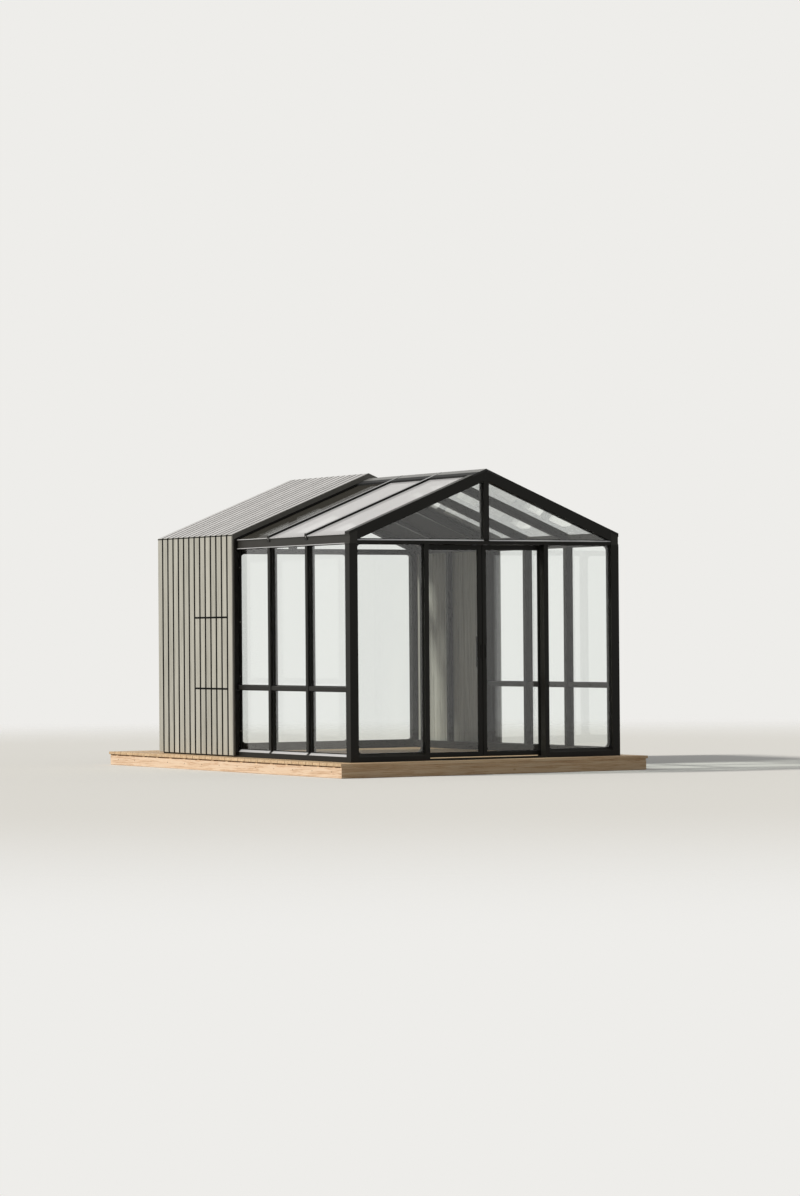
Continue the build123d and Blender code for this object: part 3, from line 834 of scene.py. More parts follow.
@dataclass
class Workshop:
    """The finishes and the recipes that all sub-assemblies share."""

    finishes: FinishBox = field(default_factory=FinishBox)
    screws: NodeRecipe = field(
        default_factory=lambda: NodeRecipe("screw heads", screw_heads, {"Head radius": 0.005, "Head height": 0.0015})
    )
    beads: NodeRecipe = field(default_factory=lambda: NodeRecipe("rubber bead", round_beads, {"Bead radius": 0.004}))
    planks: NodeRecipe = field(
        default_factory=lambda: NodeRecipe(
            "planks", arrised_planks, {"Plank width": 0.1, "Plank thickness": 0.012, "Arris radius": 0.002}
        )
    )

    def lay(
        self, name: str, planks: Sequence[Plank], section: Sequence[float], material: Material, slot: Slot
    ) -> None:
        """Lay planks or strips.

        Args:
            name: The piece's name.
            planks: The planks' middle lines and facings.
            section: Their width, their thickness and, if it isn't the usual one, the radius of their arrises.
            material: Their material.
            slot: Their slot.
        """
        points = [end for plank in planks for end in plank[:2]]
        facings = [plank[2] for plank in planks for _ in range(2)]
        sizes = dict(zip(("Plank width", "Plank thickness", "Arris radius"), section))
        guide = guide_mesh(f"{name}_lines", points, paired(len(planks)), facings)
        place(self.planks.make(guide, name, material, sizes), slot)

    def screw(self, name: str, places: Sequence[Line], radius: float, height: float, material: Material) -> None:
        """Set screws.

        Args:
            name: The piece's name.
            places: Each screw's point and facing.
            radius: The radius of their heads.
            height: The height of their heads.
            material: Their material.
        """
        guide = guide_mesh(f"{name}_points", [at for at, _ in places], facings=[facing for _, facing in places])
        sizes = {"Head radius": radius, "Head height": height}
        place(self.screws.make(guide, name, material, sizes), Slot.WHEELS)

    def seal(self, name: str, guide: bpy.types.Mesh, radius: float, body: str) -> None:
        """Run rubber beads along the edges of a guide."""
        beads = self.beads.make(guide, name, self.finishes.rubber, {"Bead radius": radius})
        place(beads, Slot.FRAME, body=body)


def loose_parts(mesh: Mesh) -> list[list[bmesh.types.BMFace]]:
    """The faces of each loose part of a mesh.

    Args:
        mesh: The mesh.

    Returns:
        One list of faces for each loose part.
    """
    mesh.faces.index_update()
    seen: set[int] = set()
    parts = []
    for first in mesh.faces:
        if first.index in seen:
            continue
        seen.add(first.index)
        part, queue = [], [first]
        while queue:
            face = queue.pop()
            part.append(face)
            for edge in face.edges:
                for other in edge.link_faces:
                    if other.index not in seen:
                        seen.add(other.index)
                        queue.append(other)
        parts.append(part)
    return parts


def spans_of(node: str, axis: int) -> list[Span]:
    """The lowest and highest value of each loose part of a node along an axis.

    Args:
        node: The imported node's name.
        axis: 0, 1 or 2.

    Returns:
        One pair for each loose part.
    """
    mesh = merged_mesh(node)
    values = [[v.co[axis] for face in part for v in face.verts] for part in loose_parts(mesh)]
    mesh.free()
    return [(min(v), max(v)) for v in values]


@dataclass(frozen=True)
class FlatEdge:
    """A long narrow face of a member, by its middle line.

    Args:
        start: One end of the middle line.
        end: Its other end.
        normal: The way that the face points.
        width: The face's width.
    """

    start: Vector
    end: Vector
    normal: Vector
    width: float

    def stretches(self, axis: int, gaps: Sequence[Span], inset: float) -> list[Line]:
        """The parts of the middle line that lie between some gaps.

        Args:
            axis: The axis that the line runs along.
            gaps: Pairs of values along the axis that are left out.
            inset: How far each part stops short of its ends.

        Returns:
            The ends of each part.
        """
        low, high = sorted((self.start, self.end), key=lambda p: p[axis])
        cuts = sorted((max(a, low[axis]), min(b, high[axis])) for a, b in gaps if b > low[axis] and a < high[axis])
        edges = [low[axis]] + [value for pair in cuts for value in pair] + [high[axis]]
        length = high[axis] - low[axis]
        parts = []
        for a, b in zip(edges[::2], edges[1::2]):
            if b - a > 4 * inset:  # a shorter part is left out
                start, end = (low.lerp(high, (v - low[axis]) / length) for v in (a + inset, b - inset))
                parts.append((start, end))
        return parts


def sloping_edges(node: str) -> list[FlatEdge]:
    """The faces of a node that slope outwards and up, such as the tops of its sills.

    Args:
        node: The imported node's name.

    Returns:
        The faces, by their middle lines.
    """
    mesh = merged_mesh(node)
    edges = []
    for face in mesh.faces:
        if SLOPING[0] < face.normal.z < SLOPING[1] and len(face.verts) == 4:
            corners = [v.co.copy() for v in face.verts]
            sides = [(corners[i], corners[(i + 1) % 4]) for i in range(4)]
            ends = sorted(sides, key=lambda side: (side[0] - side[1]).length)[:2]
            start, end = ((a + b) / 2 for a, b in ends)
            width = (ends[0][0] - ends[0][1]).length
            edges.append(FlatEdge(start, end, face.normal.copy(), width))
    mesh.free()
    return edges


def slope_line(node: str, sign: int, upper: bool) -> Plank:
    """The eaves end and the ridge end of one face of a roof layer, and the way it faces.

    Args:
        node: The roof layer's name.
        sign: -1 for the left slope and 1 for the right.
        upper: True for the layer's outer face, False for its underside.

    Returns:
        The eaves end, the ridge end and the normal.
    """
    mesh = merged_mesh(node)
    turn = 1 if upper else -1
    facing = [face for face in mesh.faces if face.normal.z * turn > MOSTLY]
    outermost = max(facing, key=lambda face: face.calc_center_median().dot(face.normal))
    normal = outermost.normal.copy()
    ends = sorted((v.co.copy() for v in outermost.verts), key=lambda corner: corner.x * sign)
    mesh.free()
    return ends[-1], ends[0], normal


def roof_pitch(node: str) -> float:
    """The slope of a roof node's panes, in radians.

    Args:
        node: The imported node's name.

    Returns:
        The angle.
    """
    mesh = merged_mesh(node)
    largest = max(mesh.faces, key=lambda face: face.calc_area())
    angle = math.acos(min(1.0, abs(largest.normal.z)))
    mesh.free()
    return angle


def inset_outline(outline: Sequence[Vector], normal: Vector, distance: float) -> list[Vector]:
    """Move every edge of a convex outline inwards in its own plane.

    Args:
        outline: The corners, anticlockwise about the normal.
        normal: The plane's normal.
        distance: How far the edges move.

    Returns:
        The moved corners.
    """
    moved = []
    for i, corner in enumerate(outline):
        before = normal.cross((corner - outline[i - 1]).normalized())
        after = normal.cross((outline[(i + 1) % len(outline)] - corner).normalized())
        moved.append(corner + (before + after) * (distance / max(1 + before.dot(after), LEAST_LEAN)))
    return moved


@dataclass
class TimberDeck:
    """The deck: planks, fascia, joists and the screws in every plank."""

    shop: Workshop
    plank_radius: float = 0.003
    screw_radius: float = 0.0045
    screw_height: float = 0.0012
    screw_edge_share: float = 0.22
    shadow_gap: float = 0.013
    packer_pitch: float = 0.325
    packer_width: float = 0.045
    packer_depth: float = 0.024
    fascia_screw_pitch: float = 0.40
    fascia_screw_height: float = 0.058
    fascia_screw_radius: float = 0.0055

    def build(self) -> None:
        """Dress the deck and add its screws, packers and battens."""
        finishes = self.shop.finishes
        across, along = finishes.pine_across, finishes.pine_along
        place(softened_copy("deck_boards", across, self.plank_radius), Slot.DECK, "deck_boards")
        # the long sides take the paler pine, which is painted light; the short ends keep the deck's pine
        fascia = softened_copy("deck_fascia", finishes.planed_pine, self.plank_radius, self.lower_top)
        refinish(fascia, across, lambda face: abs(face.normal.y) > MOSTLY)
        place(fascia, Slot.DECK, "deck_fascia")
        dress("deck_joists", along)
        self.shop.screw("deck_screws", self.plank_screws(), self.screw_radius, self.screw_height, finishes.bronze)
        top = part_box("deck_fascia")[1][2]
        packers = [
            (at + RISE * (top - self.shadow_gap), at + RISE * top, facing)
            for at, facing in self.fascia_places(self.packer_pitch, self.packer_depth / 2 + self.plank_radius)
        ]
        self.shop.lay("fascia_packers", packers, (self.packer_width, self.packer_depth), along, Slot.DECK)
        self.shop.lay("fascia_battens", self.end_battens(), (self.shadow_gap, self.packer_depth), across, Slot.DECK)
        screws = [
            (at + RISE * self.fascia_screw_height, facing)
            for at, facing in self.fascia_places(self.fascia_screw_pitch, 0.0)
        ]
        self.shop.screw("fascia_screws", screws, self.fascia_screw_radius, self.screw_height, finishes.bronze)

    def lower_top(self, mesh: Mesh) -> None:
        """Lower the fascia's top edge, which leaves a shadow gap under the planks.

        Args:
            mesh: The fascia's mesh.
        """
        top = max(v.co.z for v in mesh.verts)
        for vertex in mesh.verts:
            if vertex.co.z > top - self.shadow_gap / 2:
                vertex.co.z = top - self.shadow_gap

    def plank_screws(self) -> list[Line]:
        """Two screws for each plank over each joist.

        Returns:
            Each screw's point and facing.
        """
        joists = spans_of("deck_joists", 0)
        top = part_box("deck_boards")[1][2]
        places = []
        for low, high in spans_of("deck_boards", 1):
            inset = (high - low) * self.screw_edge_share
            for left, right in joists:
                places += [(Vector(((left + right) / 2, y, top)), RISE) for y in (low + inset, high - inset)]
        return places

    def fascia_places(self, pitch: float, inset: float) -> list[Line]:
        """Places along the long sides of the fascia, evenly spread.

        Args:
            pitch: The distance that the places come nearest to.
            inset: How far they stand inside the fascia's outer face.

        Returns:
            Each place at the ground and the way that its side faces.
        """
        low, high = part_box("deck_fascia")
        length = high[1] - low[1]
        count = round(length / pitch)
        return [
            (Vector((end[0] - sign * inset, low[1] + (i + 0.5) * length / count, 0)), Vector((sign, 0, 0)))
            for end, sign in ((low, -1), (high, 1))
            for i in range(count)
        ]

    def end_battens(self) -> list[Plank]:
        """Battens that close the gap on the two short sides, where the planks run along the fascia.

        Returns:
            The battens' middle lines and facings.
        """
        low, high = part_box("deck_fascia")
        z = high[2] - self.shadow_gap / 2
        battens = []
        for end, sign in ((low, -1), (high, 1)):
            y = end[1] - sign * (self.packer_depth / 2 + self.plank_radius / 2)
            left, right = (Vector((x, y, z)) for x in (low[0] + self.plank_radius, high[0] - self.plank_radius))
            battens.append((left, right, Vector((0, sign, 0))))
        return battens


@dataclass
class MetalFrame:
    """Posts, mullions, rails, beams and bars of the black frame."""

    shop: Workshop
    edge_radius: float = 0.0025
    thin_edge_radius: float = 0.0012
    cap_turn: float = 0.8  # least Z of the normal of a bar's cap
    cap_fold: float = 0.078  # from the ridge to the edge of the cap's upper sheet, along X
    heavy: tuple[str, ...] = (
        "corner_posts", "side_mullions_left", "side_mullions_right", "gable_mullions", "mid_rails_left",
        "mid_rails_right", "base_sills_sides", "base_sills_gables", "eaves_beam_left", "eaves_beam_right",
        "tie_beams", "gable_rafters_front", "gable_rafters_rear", "king_posts", "ridge_beam",
        "roof_bars_left", "roof_bars_right",
    )
    thin: tuple[str, ...] = (
        "door_threshold", "door_track", "door_floor_guides", "track_stops", "gable_inner_beads",
        "clad_end_trim_rear",
    )

    def build(self) -> None:
        """Replace each member by one with rounded edges, and give the ridge cap its two finishes."""
        finishes = self.shop.finishes
        for nodes, radius in ((self.heavy, self.edge_radius), (self.thin, self.thin_edge_radius)):
            for node in nodes:
                finish = finishes.dusty_coat if node.startswith("eaves_beam") else finishes.frame
                piece = softened_copy(node, finish, radius)
                if node.startswith("roof_bars"):
                    refinish(piece, finishes.smooth_coat, lambda face: face.normal.z > self.cap_turn)
                place(piece, Slot.FRAME, node, body=node_body(node))
        self.fold_ridge_cap()

    def fold_ridge_cap(self) -> None:
        """The ridge cap: a grey upper sheet over a black sealing strip on each slope."""
        mesh = merged_mesh("ridge_cap")
        cut_along(mesh, [(Vector((sign * self.cap_fold, 0, 0)), Vector((1, 0, 0))) for _, sign in SIDES])
        cap = object_from(mesh, "ridge_cap_folded", self.shop.finishes.rubber)
        refinish(
            cap,
            self.shop.finishes.ridge_sheet,
            lambda face: abs(face.center.x) < self.cap_fold and face.normal.z > MOSTLY,
        )
        place(cap, Slot.FRAME, "ridge_cap")


def clip_centres() -> list[float]:
    """The place of each roof bar's clip along Y, to a tenth of a millimetre."""
    return sorted({round((a + b) / 2, 4) for a, b in spans_of("roof_bar_clips", 1)})


@dataclass
class HighlightStrips:
    """Pale strips on the sloped edges that shed water below each pane, and along the eaves: painted highlights where
    these edges catch the sky and the sun.
    """

    shop: Workshop
    thickness: float = 0.0012
    side_margin: float = 0.0015
    sill_margin: float = 0.004
    rail_margin: float = 0.006
    end_gap: float = 0.0015
    lip: float = 0.008  # height of the eaves beam's lips
    head_rise: float = 0.004  # of the upper strip over the foot of the roof's panes
    front_gap: float = 0.092  # from the beam's front end, which clears the corner post
    sleeve_gap: float = 0.002
    clip_reach: float = 0.026  # from a clip's middle to the strip beside it

    def strip(self, name: str, edge: FlatEdge, axis: int, gaps: Sequence[Span], margin: float) -> None:
        """Lay the strips of one edge, between the gaps.

        Args:
            name: The piece's name.
            edge: The face that carries them.
            axis: The axis that it runs along.
            gaps: Pairs of values along the axis that are left out.
            margin: How much narrower than the face they are on both sides together.
        """
        lift = edge.normal * (self.thickness / 2)
        lines = edge.stretches(axis, gaps, self.end_gap)
        planks = [(start + lift, end + lift, edge.normal) for start, end in lines]
        section = (edge.width - margin, self.thickness, self.thickness / 4)
        # the pale strips are painted highlights
        self.shop.lay(name, planks, section, self.shop.finishes.pale_highlight, Slot.WHEELS)

    def build(self) -> None:
        """Lay the strips on the sills, the mid rails, the tie beams and the eaves beams."""
        sleeve = (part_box("clad_end_trim_front")[0][1], REAR_END)
        for name, node, axis, gaps, margin in (
            ("sill_strip_sides", "base_sills_sides", 1, spans_of("side_mullions_left", 1) + [sleeve], self.sill_margin),
            ("tie_strip", "tie_beams", 0, spans_of("king_posts", 0)[:1], self.side_margin),
            ("rail_strip_left", "mid_rails_left", 1, [], self.rail_margin),
            ("rail_strip_right", "mid_rails_right", 1, [], self.rail_margin),
        ):
            for i, edge in enumerate(sloping_edges(node)):
                self.strip(f"{name}_{i + 1}", edge, axis, gaps, 2 * margin)
        clips = [(centre - self.clip_reach, centre + self.clip_reach) for centre in clip_centres()]
        for side, sign in SIDES:
            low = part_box(f"eaves_beam_{side}")[0]
            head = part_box(f"roof_glass_{side}")[0][2] + self.head_rise
            for name, z, gaps in (("foot", low[2] + self.lip / 2, []), ("head", head, clips)):
                x = outer_face(f"eaves_beam_{side}", sign)
                start, end = (Vector((x, y, z)) for y in (low[1] + self.front_gap, sleeve[0] - self.sleeve_gap))
                edge = FlatEdge(start, end, Vector((sign, 0, 0)), self.lip)
                self.strip(f"eaves_{name}_strip_{side}", edge, 1, gaps, self.side_margin)


@dataclass
class BarClips:
    """The clips at the feet of the roof bars, each held by one screw."""

    shop: Workshop
    edge_radius: float = 0.0006
    screw_radius: float = 0.006
    screw_height: float = 0.003
    screw_share: float = 0.4  # of a head's height, from the clip's face to the head's middle
    screw_drop: float = 0.034

    def build(self) -> None:
        """Round the clips and add their screws."""
        finishes = self.shop.finishes
        clips = softened_copy("roof_bar_clips", finishes.frame, self.edge_radius)
        place(clips, Slot.FRAME, "roof_bar_clips")
        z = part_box("roof_bar_clips")[1][2] - self.screw_drop
        out = self.screw_height * self.screw_share
        places = [
            (Vector((outer_face("roof_bar_clips", sign) + sign * out, y, z)), Vector((sign, 0, 0)))
            for y in clip_centres()
            for _, sign in SIDES
        ]
        self.shop.screw("clip_screws", places, self.screw_radius, self.screw_height, finishes.stainless)


@dataclass
class CladSleeve:
    """The boarded rear part: boards outside, lining inside, panels between."""

    shop: Workshop
    wall_arris: float = 0.005
    roof_arris: float = 0.004
    groove_turn: float = 0.35  # least Y of the normal of a face that counts as a joint's side
    # the hatch's cut faces deeper than this take the painted shade of the joints
    joint_depth: float = 0.008  # from the hatch's outer face to where its joints darken
    wall_edge: float = 0.018
    roof_edge: float = 0.050
    lining_thickness: float = 0.012
    lining_pitch: float = 0.121
    lining_gap: float = 0.006
    stop_width: float = 0.045
    stop_thickness: float = 0.010
    stop_gap: float = 0.0005
    stop_screw_radius: float = 0.005
    stop_screw_height: float = 0.0015
    stop_screw_pitch: float = 0.55
    stop_screws: tuple[float, ...] = (-1.5, -0.5, 0.5, 1.5)  # from the middle, in pitches
    flashing_thickness: float = 0.0016
    # where the painted shadow under the roof's overhang lies, and its height
    shadow_line_drop: float = 0.010
    shadow_line_height: float = 0.010
    hatch_gap: float = 0.006
    hatch_flashing: float = 0.018
    wall_nodes: tuple[str, ...] = ("wall_boards_left", "wall_boards_right", "side_hatch")
    roof_nodes: tuple[str, ...] = ("roof_boards_left", "roof_boards_right")
    core_nodes: tuple[str, ...] = ("clad_wall_left", "clad_wall_right", "clad_roof_left", "clad_roof_right")

    def build(self) -> None:
        """Dress the sleeve's boards and panels and line it inside."""
        finishes = self.shop.finishes
        for node in self.wall_nodes:
            self.dress_boards(node, finishes.wall_boards, finishes.wall_groove_shade, self.wall_arris)
        for node in self.roof_nodes:
            self.dress_boards(node, finishes.roof_boards, finishes.roof_groove_shade, self.roof_arris)
        for node in self.core_nodes:
            dress(node, finishes.membrane)
        self.edge_sleeve()
        self.line_inside()
        self.stop_panes()
        self.flash_boards()

    def dress_boards(self, node: str, finish: Material, groove: Material, arris: float) -> None:
        """Round a node's boards and paint shade on the sides of their joints.

        Args:
            node: The boards' node.
            finish: Their material.
            groove: The material of their side faces: painted shade.
            arris: The radius on their edges.
        """
        piece = softened_copy(node, finish, arris)
        inner = max(abs(corner.x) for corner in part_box(node)) - self.joint_depth
        level_cuts = node == "side_hatch"
        refinish(
            piece,
            groove,
            lambda face: abs(face.normal.y) > self.groove_turn or (level_cuts and abs(face.center.x) < inner),
        )
        place(piece, Slot.BOARDS, node)

    def edge_sleeve(self) -> None:
        """Paint the outer part of the sleeve's front edge in the darkened grey of painted shade and leave its inner
        part black.
        """
        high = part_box("clad_end_trim_front")[1]
        pitch = roof_pitch("roof_glass_left")
        planes = []
        for _, sign in SIDES:
            planes.append((Vector((sign * (high[0] - self.wall_edge), 0, 0)), Vector((sign, 0, 0))))
            normal = Vector((sign * math.sin(pitch), 0, math.cos(pitch)))
            planes.append((Vector((0, 0, high[2])) - normal * self.roof_edge, normal))
        mesh = merged_mesh("clad_end_trim_front")
        cut_along(mesh, planes)
        trim = object_from(mesh, "sleeve_front_edge", self.shop.finishes.frame)
        refinish(
            trim,
            self.shop.finishes.edge_paint,
            lambda face: any((face.center - point).dot(normal) > FACE_SLACK for point, normal in planes),
        )
        place(trim, Slot.FRAME, "clad_end_trim_front")

    def lining_boards(self) -> tuple[list[float], float]:
        """Spread lining boards evenly over the two bays between the mullions and the rear posts.

        Returns:
            The middle of each board along Y, and the width that they all have, from the front bay.
        """
        mullions = sorted(spans_of("side_mullions_left", 1))
        rear_post = next(span for span in spans_of("corner_posts", 1) if span[0] > 0)
        centres, widths = [], []
        for start, end in ((mullions[-2][1], mullions[-1][0]), (mullions[-1][1], rear_post[0])):
            count = max(1, round((end - start + self.lining_gap) / self.lining_pitch))
            pitch = (end - start + self.lining_gap) / count
            centres += [start + pitch * (i + 0.5) - self.lining_gap / 2 for i in range(count)]
            widths.append(pitch - self.lining_gap)
        return centres, widths[0]

    def line_inside(self) -> None:
        """Upright boards on the inner faces of both walls, and sloping ones under both slopes."""
        centres, width = self.lining_boards()
        section = (width, self.lining_thickness)
        low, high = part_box("base_sills_sides")[1][2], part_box("eaves_beam_left")[0][2]
        for side, sign in SIDES:
            x = outer_face(f"clad_wall_{side}", -sign) - sign * self.lining_thickness / 2
            boards = [(Vector((x, y, low)), Vector((x, y, high)), Vector((-sign, 0, 0))) for y in centres]
            self.shop.lay(f"wall_lining_{side}", boards, section, self.shop.finishes.wall_lining, Slot.BOARDS)
        for side, sign in SIDES:
            eaves, ridge, normal = slope_line(f"clad_roof_{side}", sign, upper=False)
            lift = normal * (self.lining_thickness / 2)
            boards = [
                (Vector((eaves.x, y, eaves.z)) + lift, Vector((ridge.x, y, ridge.z)) + lift, normal) for y in centres
            ]
            self.shop.lay(f"roof_lining_{side}", boards, section, self.shop.finishes.roof_lining, Slot.BOARDS)

    def lay_black(self, name: str, planks: Sequence[Plank], width: float, thickness: float) -> None:
        """Lay flat black strips."""
        section = (width, thickness, thickness / 4)
        self.shop.lay(name, planks, section, self.shop.finishes.flashing, Slot.FRAME)

    def stop_panes(self) -> None:
        """Black stops that hold the edges of the panes beside the sleeve, on the walls and the roof."""
        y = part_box("clad_end_trim_front")[0][1] - self.stop_width / 2 - self.stop_gap
        low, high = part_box("base_sills_sides")[1][2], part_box("eaves_beam_left")[0][2]
        for side, sign in SIDES:
            outward = Vector((sign, 0, 0))
            x = outer_face(f"wall_glass_{side}", sign) + sign * self.stop_thickness / 2
            stop = (Vector((x, y, low)), Vector((x, y, high)), outward)
            self.lay_black(f"wall_pane_stop_{side}", [stop], self.stop_width, self.stop_thickness)
            middle = Vector((x + sign * self.stop_thickness / 2, y, (low + high) / 2))
            screws = [(middle + Vector((0, 0, i * self.stop_screw_pitch)), outward) for i in self.stop_screws]
            self.shop.screw(
                f"stop_screws_{side}", screws, self.stop_screw_radius, self.stop_screw_height,
                self.shop.finishes.stainless,
            )
            eaves, ridge, normal = slope_line(f"roof_glass_{side}", sign, upper=True)
            cap_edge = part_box("ridge_cap")[1][0]
            top = eaves.lerp(ridge, (abs(eaves.x) - cap_edge) / (abs(eaves.x) - abs(ridge.x)))
            foot, head = (Vector((p.x, y, p.z)) + normal * (self.stop_thickness / 2) for p in (eaves, top))
            stop = (foot, head, normal)
            self.lay_black(f"roof_pane_stop_{side}", [stop], self.stop_width, self.stop_thickness)

    def level_strip(self, node: str, sign: int, z: float) -> Plank:
        """The middle line of a flashing that lies level on a node's outer face.

        Args:
            node: The node's name.
            sign: -1 for the left wall and 1 for the right.
            z: The flashing's height.

        Returns:
            The line and its facing.
        """
        x = outer_face(node, sign) + sign * self.flashing_thickness / 2
        front, rear = (Vector((x, corner[1], z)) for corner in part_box(node))
        return front, rear, Vector((sign, 0, 0))

    def flash_boards(self) -> None:
        """Thin black strips: a painted shadow along the walls' top joint, under the roof's overhang, and flashings over
        and under the hatch.
        """
        for side, sign in SIDES:
            node = f"wall_boards_{side}"
            # a black strip where the roof's overhang casts its shadow: painted shadow
            strip = self.level_strip(node, sign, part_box(node)[1][2] - self.shadow_line_drop)
            self.lay_black(f"wall_top_joint_{side}", [strip], self.shadow_line_height, self.flashing_thickness)
        low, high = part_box("side_hatch")
        heights = (low[2] - self.hatch_gap / 2, high[2] + self.hatch_gap / 2)
        strips = [self.level_strip("side_hatch", -1, z) for z in heights]
        self.lay_black("hatch_flashings", strips, self.hatch_flashing, self.flashing_thickness)


@dataclass
class SlidingDoors:
    """The two leaves with their seals, hangers and handles."""

    shop: Workshop
    edge_radius: float = 0.0015
    seal_radius: float = 0.0024

    def build(self) -> None:
        """Seal the leaves' meeting edges, and replace the leaves by rounded ones."""
        finishes = self.shop.finishes
        for side, sign in SIDES:
            low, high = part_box(f"door_leaf_{side}")
            x, y = outer_face(f"door_leaf_{side}", -sign), (low[1] + high[1]) / 2
            ends = [Vector((x, y, z)) for z in (low[2] + self.edge_radius, high[2] - self.edge_radius)]
            guide = guide_mesh(f"door_seal_line_{side}", ends, paired(1))
            self.shop.seal(f"door_seal_{side}", guide, self.seal_radius, f"{side}_door")
        for side, _ in SIDES:
            leaf = softened_copy(f"door_leaf_{side}", finishes.frame, self.edge_radius)
            place(leaf, Slot.FRAME, f"door_leaf_{side}", body=f"{side}_door")
            dress(f"door_handle_{side}", finishes.frame)
            dress(f"door_hangers_{side}", finishes.zinc)


@dataclass
class Glazing:
    """The fixed panes and the rubber beads that hold them."""

    shop: Workshop
    groove: float = 0.010
    bead_radius: float = 0.0045
    bead_share: float = 0.8  # of a bead's radius, from the groove's edge to the bead's middle
    upright: tuple[str, ...] = (
        "wall_glass_left", "wall_glass_right", "gable_glass_front", "gable_glass_rear", "gable_peak_glass",
        "door_glass_left", "door_glass_right",
    )
    sloping: tuple[str, ...] = ("roof_glass_left", "roof_glass_right")

    def build(self) -> None:
        """Dress the panes and add their beads."""
        for node in self.upright + self.sloping:
            if node in self.sloping:
                self.dress_slope(node)
            else:
                dress(node, self.shop.finishes.glass)
            guide = self.bead_guide(node, node in self.sloping)
            self.shop.seal(node.replace("glass", "beads"), guide, self.bead_radius, node_body(node))

    def dress_slope(self, node: str) -> None:
        """Copy a slope's panes, pale with dust but for the one beside the sleeve, whose dark film is a painted dark
        reflection.

        Args:
            node: The slope's panes.
        """
        sleeve_pane_start = max(low for low, _ in spans_of(node, 1))
        finishes = self.shop.finishes
        panes = object_from(merged_mesh(node), f"{node}_panes", finishes.glass)
        refinish(panes, finishes.roof_glass, lambda face: face.center.y < sleeve_pane_start and face.normal.z > MOSTLY)
        # the pane beside the sleeve: painted dark reflection
        refinish(panes, finishes.dark_reflection_glass, lambda face: face.center.y > sleeve_pane_start and face.normal.z > MOSTLY)
        place(panes, Slot.GLASS, node)

    def bead_guide(self, node: str, along_slope_only: bool) -> bpy.types.Mesh:
        """The lines that a node's beads follow, on both faces of each pane.

        Args:
            node: The node that holds the panes.
            along_slope_only: True to leave out the edges at the eaves and the ridge.

        Returns:
            The guide mesh.
        """
        mesh = merged_mesh(node)
        inset = self.groove + self.bead_radius * self.bead_share
        points: list[Vector] = []
        edges: list[tuple[int, int]] = []
        for part in loose_parts(mesh):
            for face in sorted(part, key=lambda f: -f.calc_area())[:2]:  # a pane's two large faces
                outline = inset_outline([v.co.copy() for v in face.verts], face.normal.copy(), inset)
                first, count = len(points), len(outline)
                if not along_slope_only:
                    points += outline
                    edges += [(first + i, first + (i + 1) % count) for i in range(count)]
                    continue
                for i, corner in enumerate(outline):
                    following = outline[(i + 1) % count]
                    if abs(following.y - corner.y) < self.groove:
                        edges.append((len(points), len(points) + 1))
                        points += [corner, following]
        mesh.free()
        return guide_mesh(f"{node}_bead_lines", points, edges)


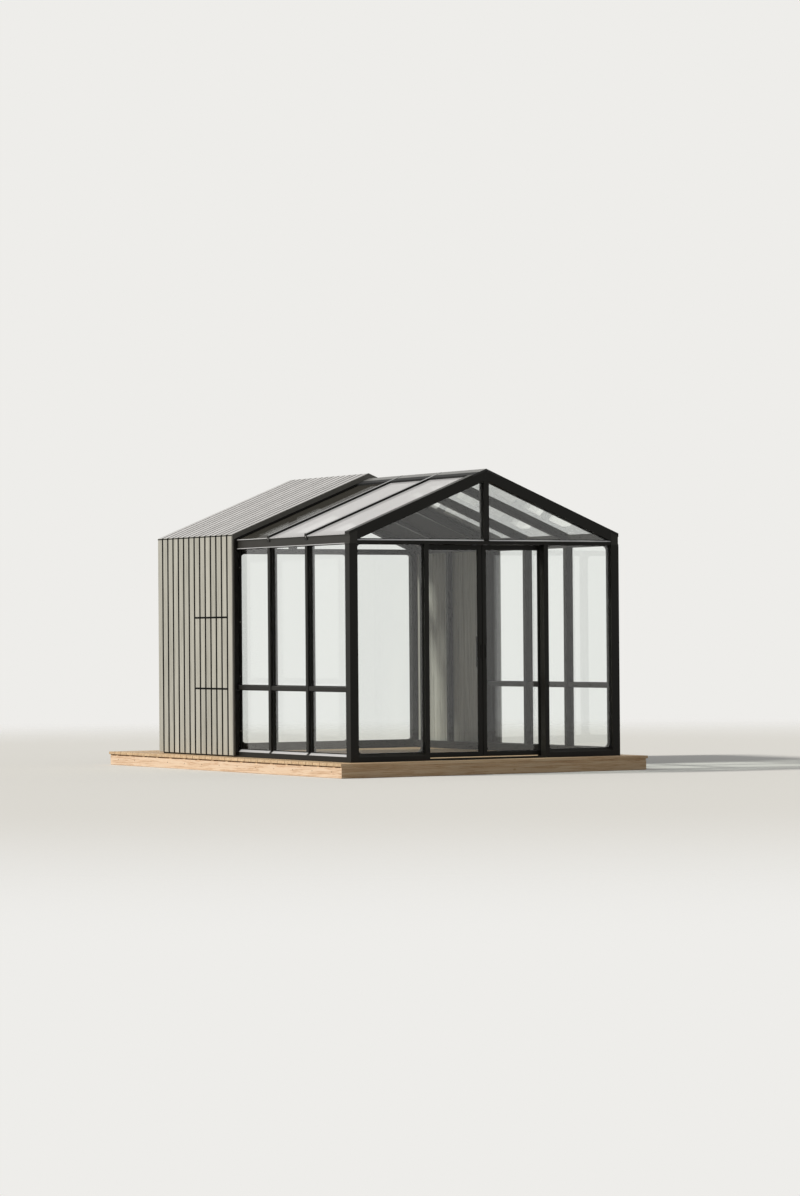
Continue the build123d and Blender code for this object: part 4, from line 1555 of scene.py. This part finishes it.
@dataclass(frozen=True)
class Studio:
    """A plain pale floor, a soft key from the left, and the photograph's own viewpoint."""

    camera_at: tuple[float, float, float] = (-18.746, -33.118, 1.352)
    heading_degrees: float = 59.988  # from +X towards +Y
    pitch_degrees: float = 0.5875
    roll_degrees: float = -0.4464
    lens_mm: float = 110.88
    sensor_mm: float = 36.0
    sight: float = 400.0
    backdrop: str = "#EEEDEA"
    floor_radius: float = 60.0
    floor_corners: int = 96
    floor_drop: float = 0.001
    sky_light: float = 0.36
    sun_strength: float = 2.9
    sun_angle_degrees: float = 6.0
    sun_from: tuple[float, float, float] = (-0.80, 0.24, 0.56)
    sun_colour: str = "#FFFBF4"

    def build(self) -> None:
        """Set the camera, the light and the floor."""
        self.add_camera()
        self.add_sky()
        self.add_sun()
        self.add_floor()
        bpy.context.scene.view_settings.view_transform = "Standard"

    def add_camera(self) -> None:
        """Stand the camera where the photograph was taken from."""
        heading, pitch, roll = map(math.radians, (self.heading_degrees, self.pitch_degrees, self.roll_degrees))
        level_ahead = Vector((math.cos(pitch) * math.cos(heading), math.cos(pitch) * math.sin(heading), 0))
        ahead = level_ahead + RISE * math.sin(pitch)
        level = ahead.cross(RISE).normalized()
        upright = level.cross(ahead)
        right = math.cos(roll) * level + math.sin(roll) * upright
        up = math.cos(roll) * upright - math.sin(roll) * level
        data = bpy.data.cameras.new("photo_camera")
        data.sensor_width = self.sensor_mm
        data.lens = self.lens_mm
        data.clip_end = self.sight
        camera = new_object("photo_camera", data)
        turn = Matrix((right, up, -ahead)).transposed().to_4x4()
        camera.matrix_world = Matrix.Translation(Vector(self.camera_at)) @ turn
        bpy.context.scene.camera = camera

    def add_sky(self) -> None:
        """A pale sky for sight and reflections, and a lower one for light."""
        world = bpy.data.worlds.new("pale_sky")
        world.use_nodes = True
        tree = world.node_tree
        tree.nodes.clear()
        path = add_node(tree, "ShaderNodeLightPath").outputs
        seen = maths(tree, "ADD", path["Is Camera Ray"], path["Is Glossy Ray"])
        shown = maths(tree, "ADD", seen, path["Is Transmission Ray"], clamp=True)
        light, sight = (
            add_node(tree, "ShaderNodeBackground", {"Color": colour, "Strength": strength}).outputs[0]
            for colour, strength in (((1.0, 1.0, 1.0, 1.0), self.sky_light), (linear_colour(self.backdrop), 1.0))
        )
        add_node(tree, "ShaderNodeOutputWorld", {"Surface": mixed_shader(tree, shown, light, sight)})
        bpy.context.scene.world = world

    def add_sun(self) -> None:
        """A wide soft sun from the left, a little behind the front gable."""
        data = bpy.data.lights.new("soft_sun", "SUN")
        data.energy = self.sun_strength
        data.angle = math.radians(self.sun_angle_degrees)
        data.color = linear_colour(self.sun_colour)[:3]
        lamp = new_object("soft_sun", data)
        lamp.visible_glossy = False
        lamp.visible_transmission = False
        lamp.rotation_euler = Vector(self.sun_from).to_track_quat("Z", "Y").to_euler()

    def add_floor(self) -> None:
        """A round pale floor that fades into the sky far out."""
        mesh = bmesh.new()
        bmesh.ops.create_circle(mesh, cap_ends=True, radius=self.floor_radius, segments=self.floor_corners)
        floor = object_from(mesh, "studio_floor", FloorPaper().material())
        floor.location = (0, 0, -self.floor_drop)


def main() -> None:
    """Build every sub-assembly in order."""
    logging.basicConfig(level=logging.INFO, format="%(name)s: %(message)s")
    shop = Workshop()
    Studio().build()
    TimberDeck(shop).build()
    MetalFrame(shop).build()
    HighlightStrips(shop).build()
    BarClips(shop).build()
    CladSleeve(shop).build()
    SlidingDoors(shop).build()
    Glazing(shop).build()


if __name__ == "__main__":
    main()
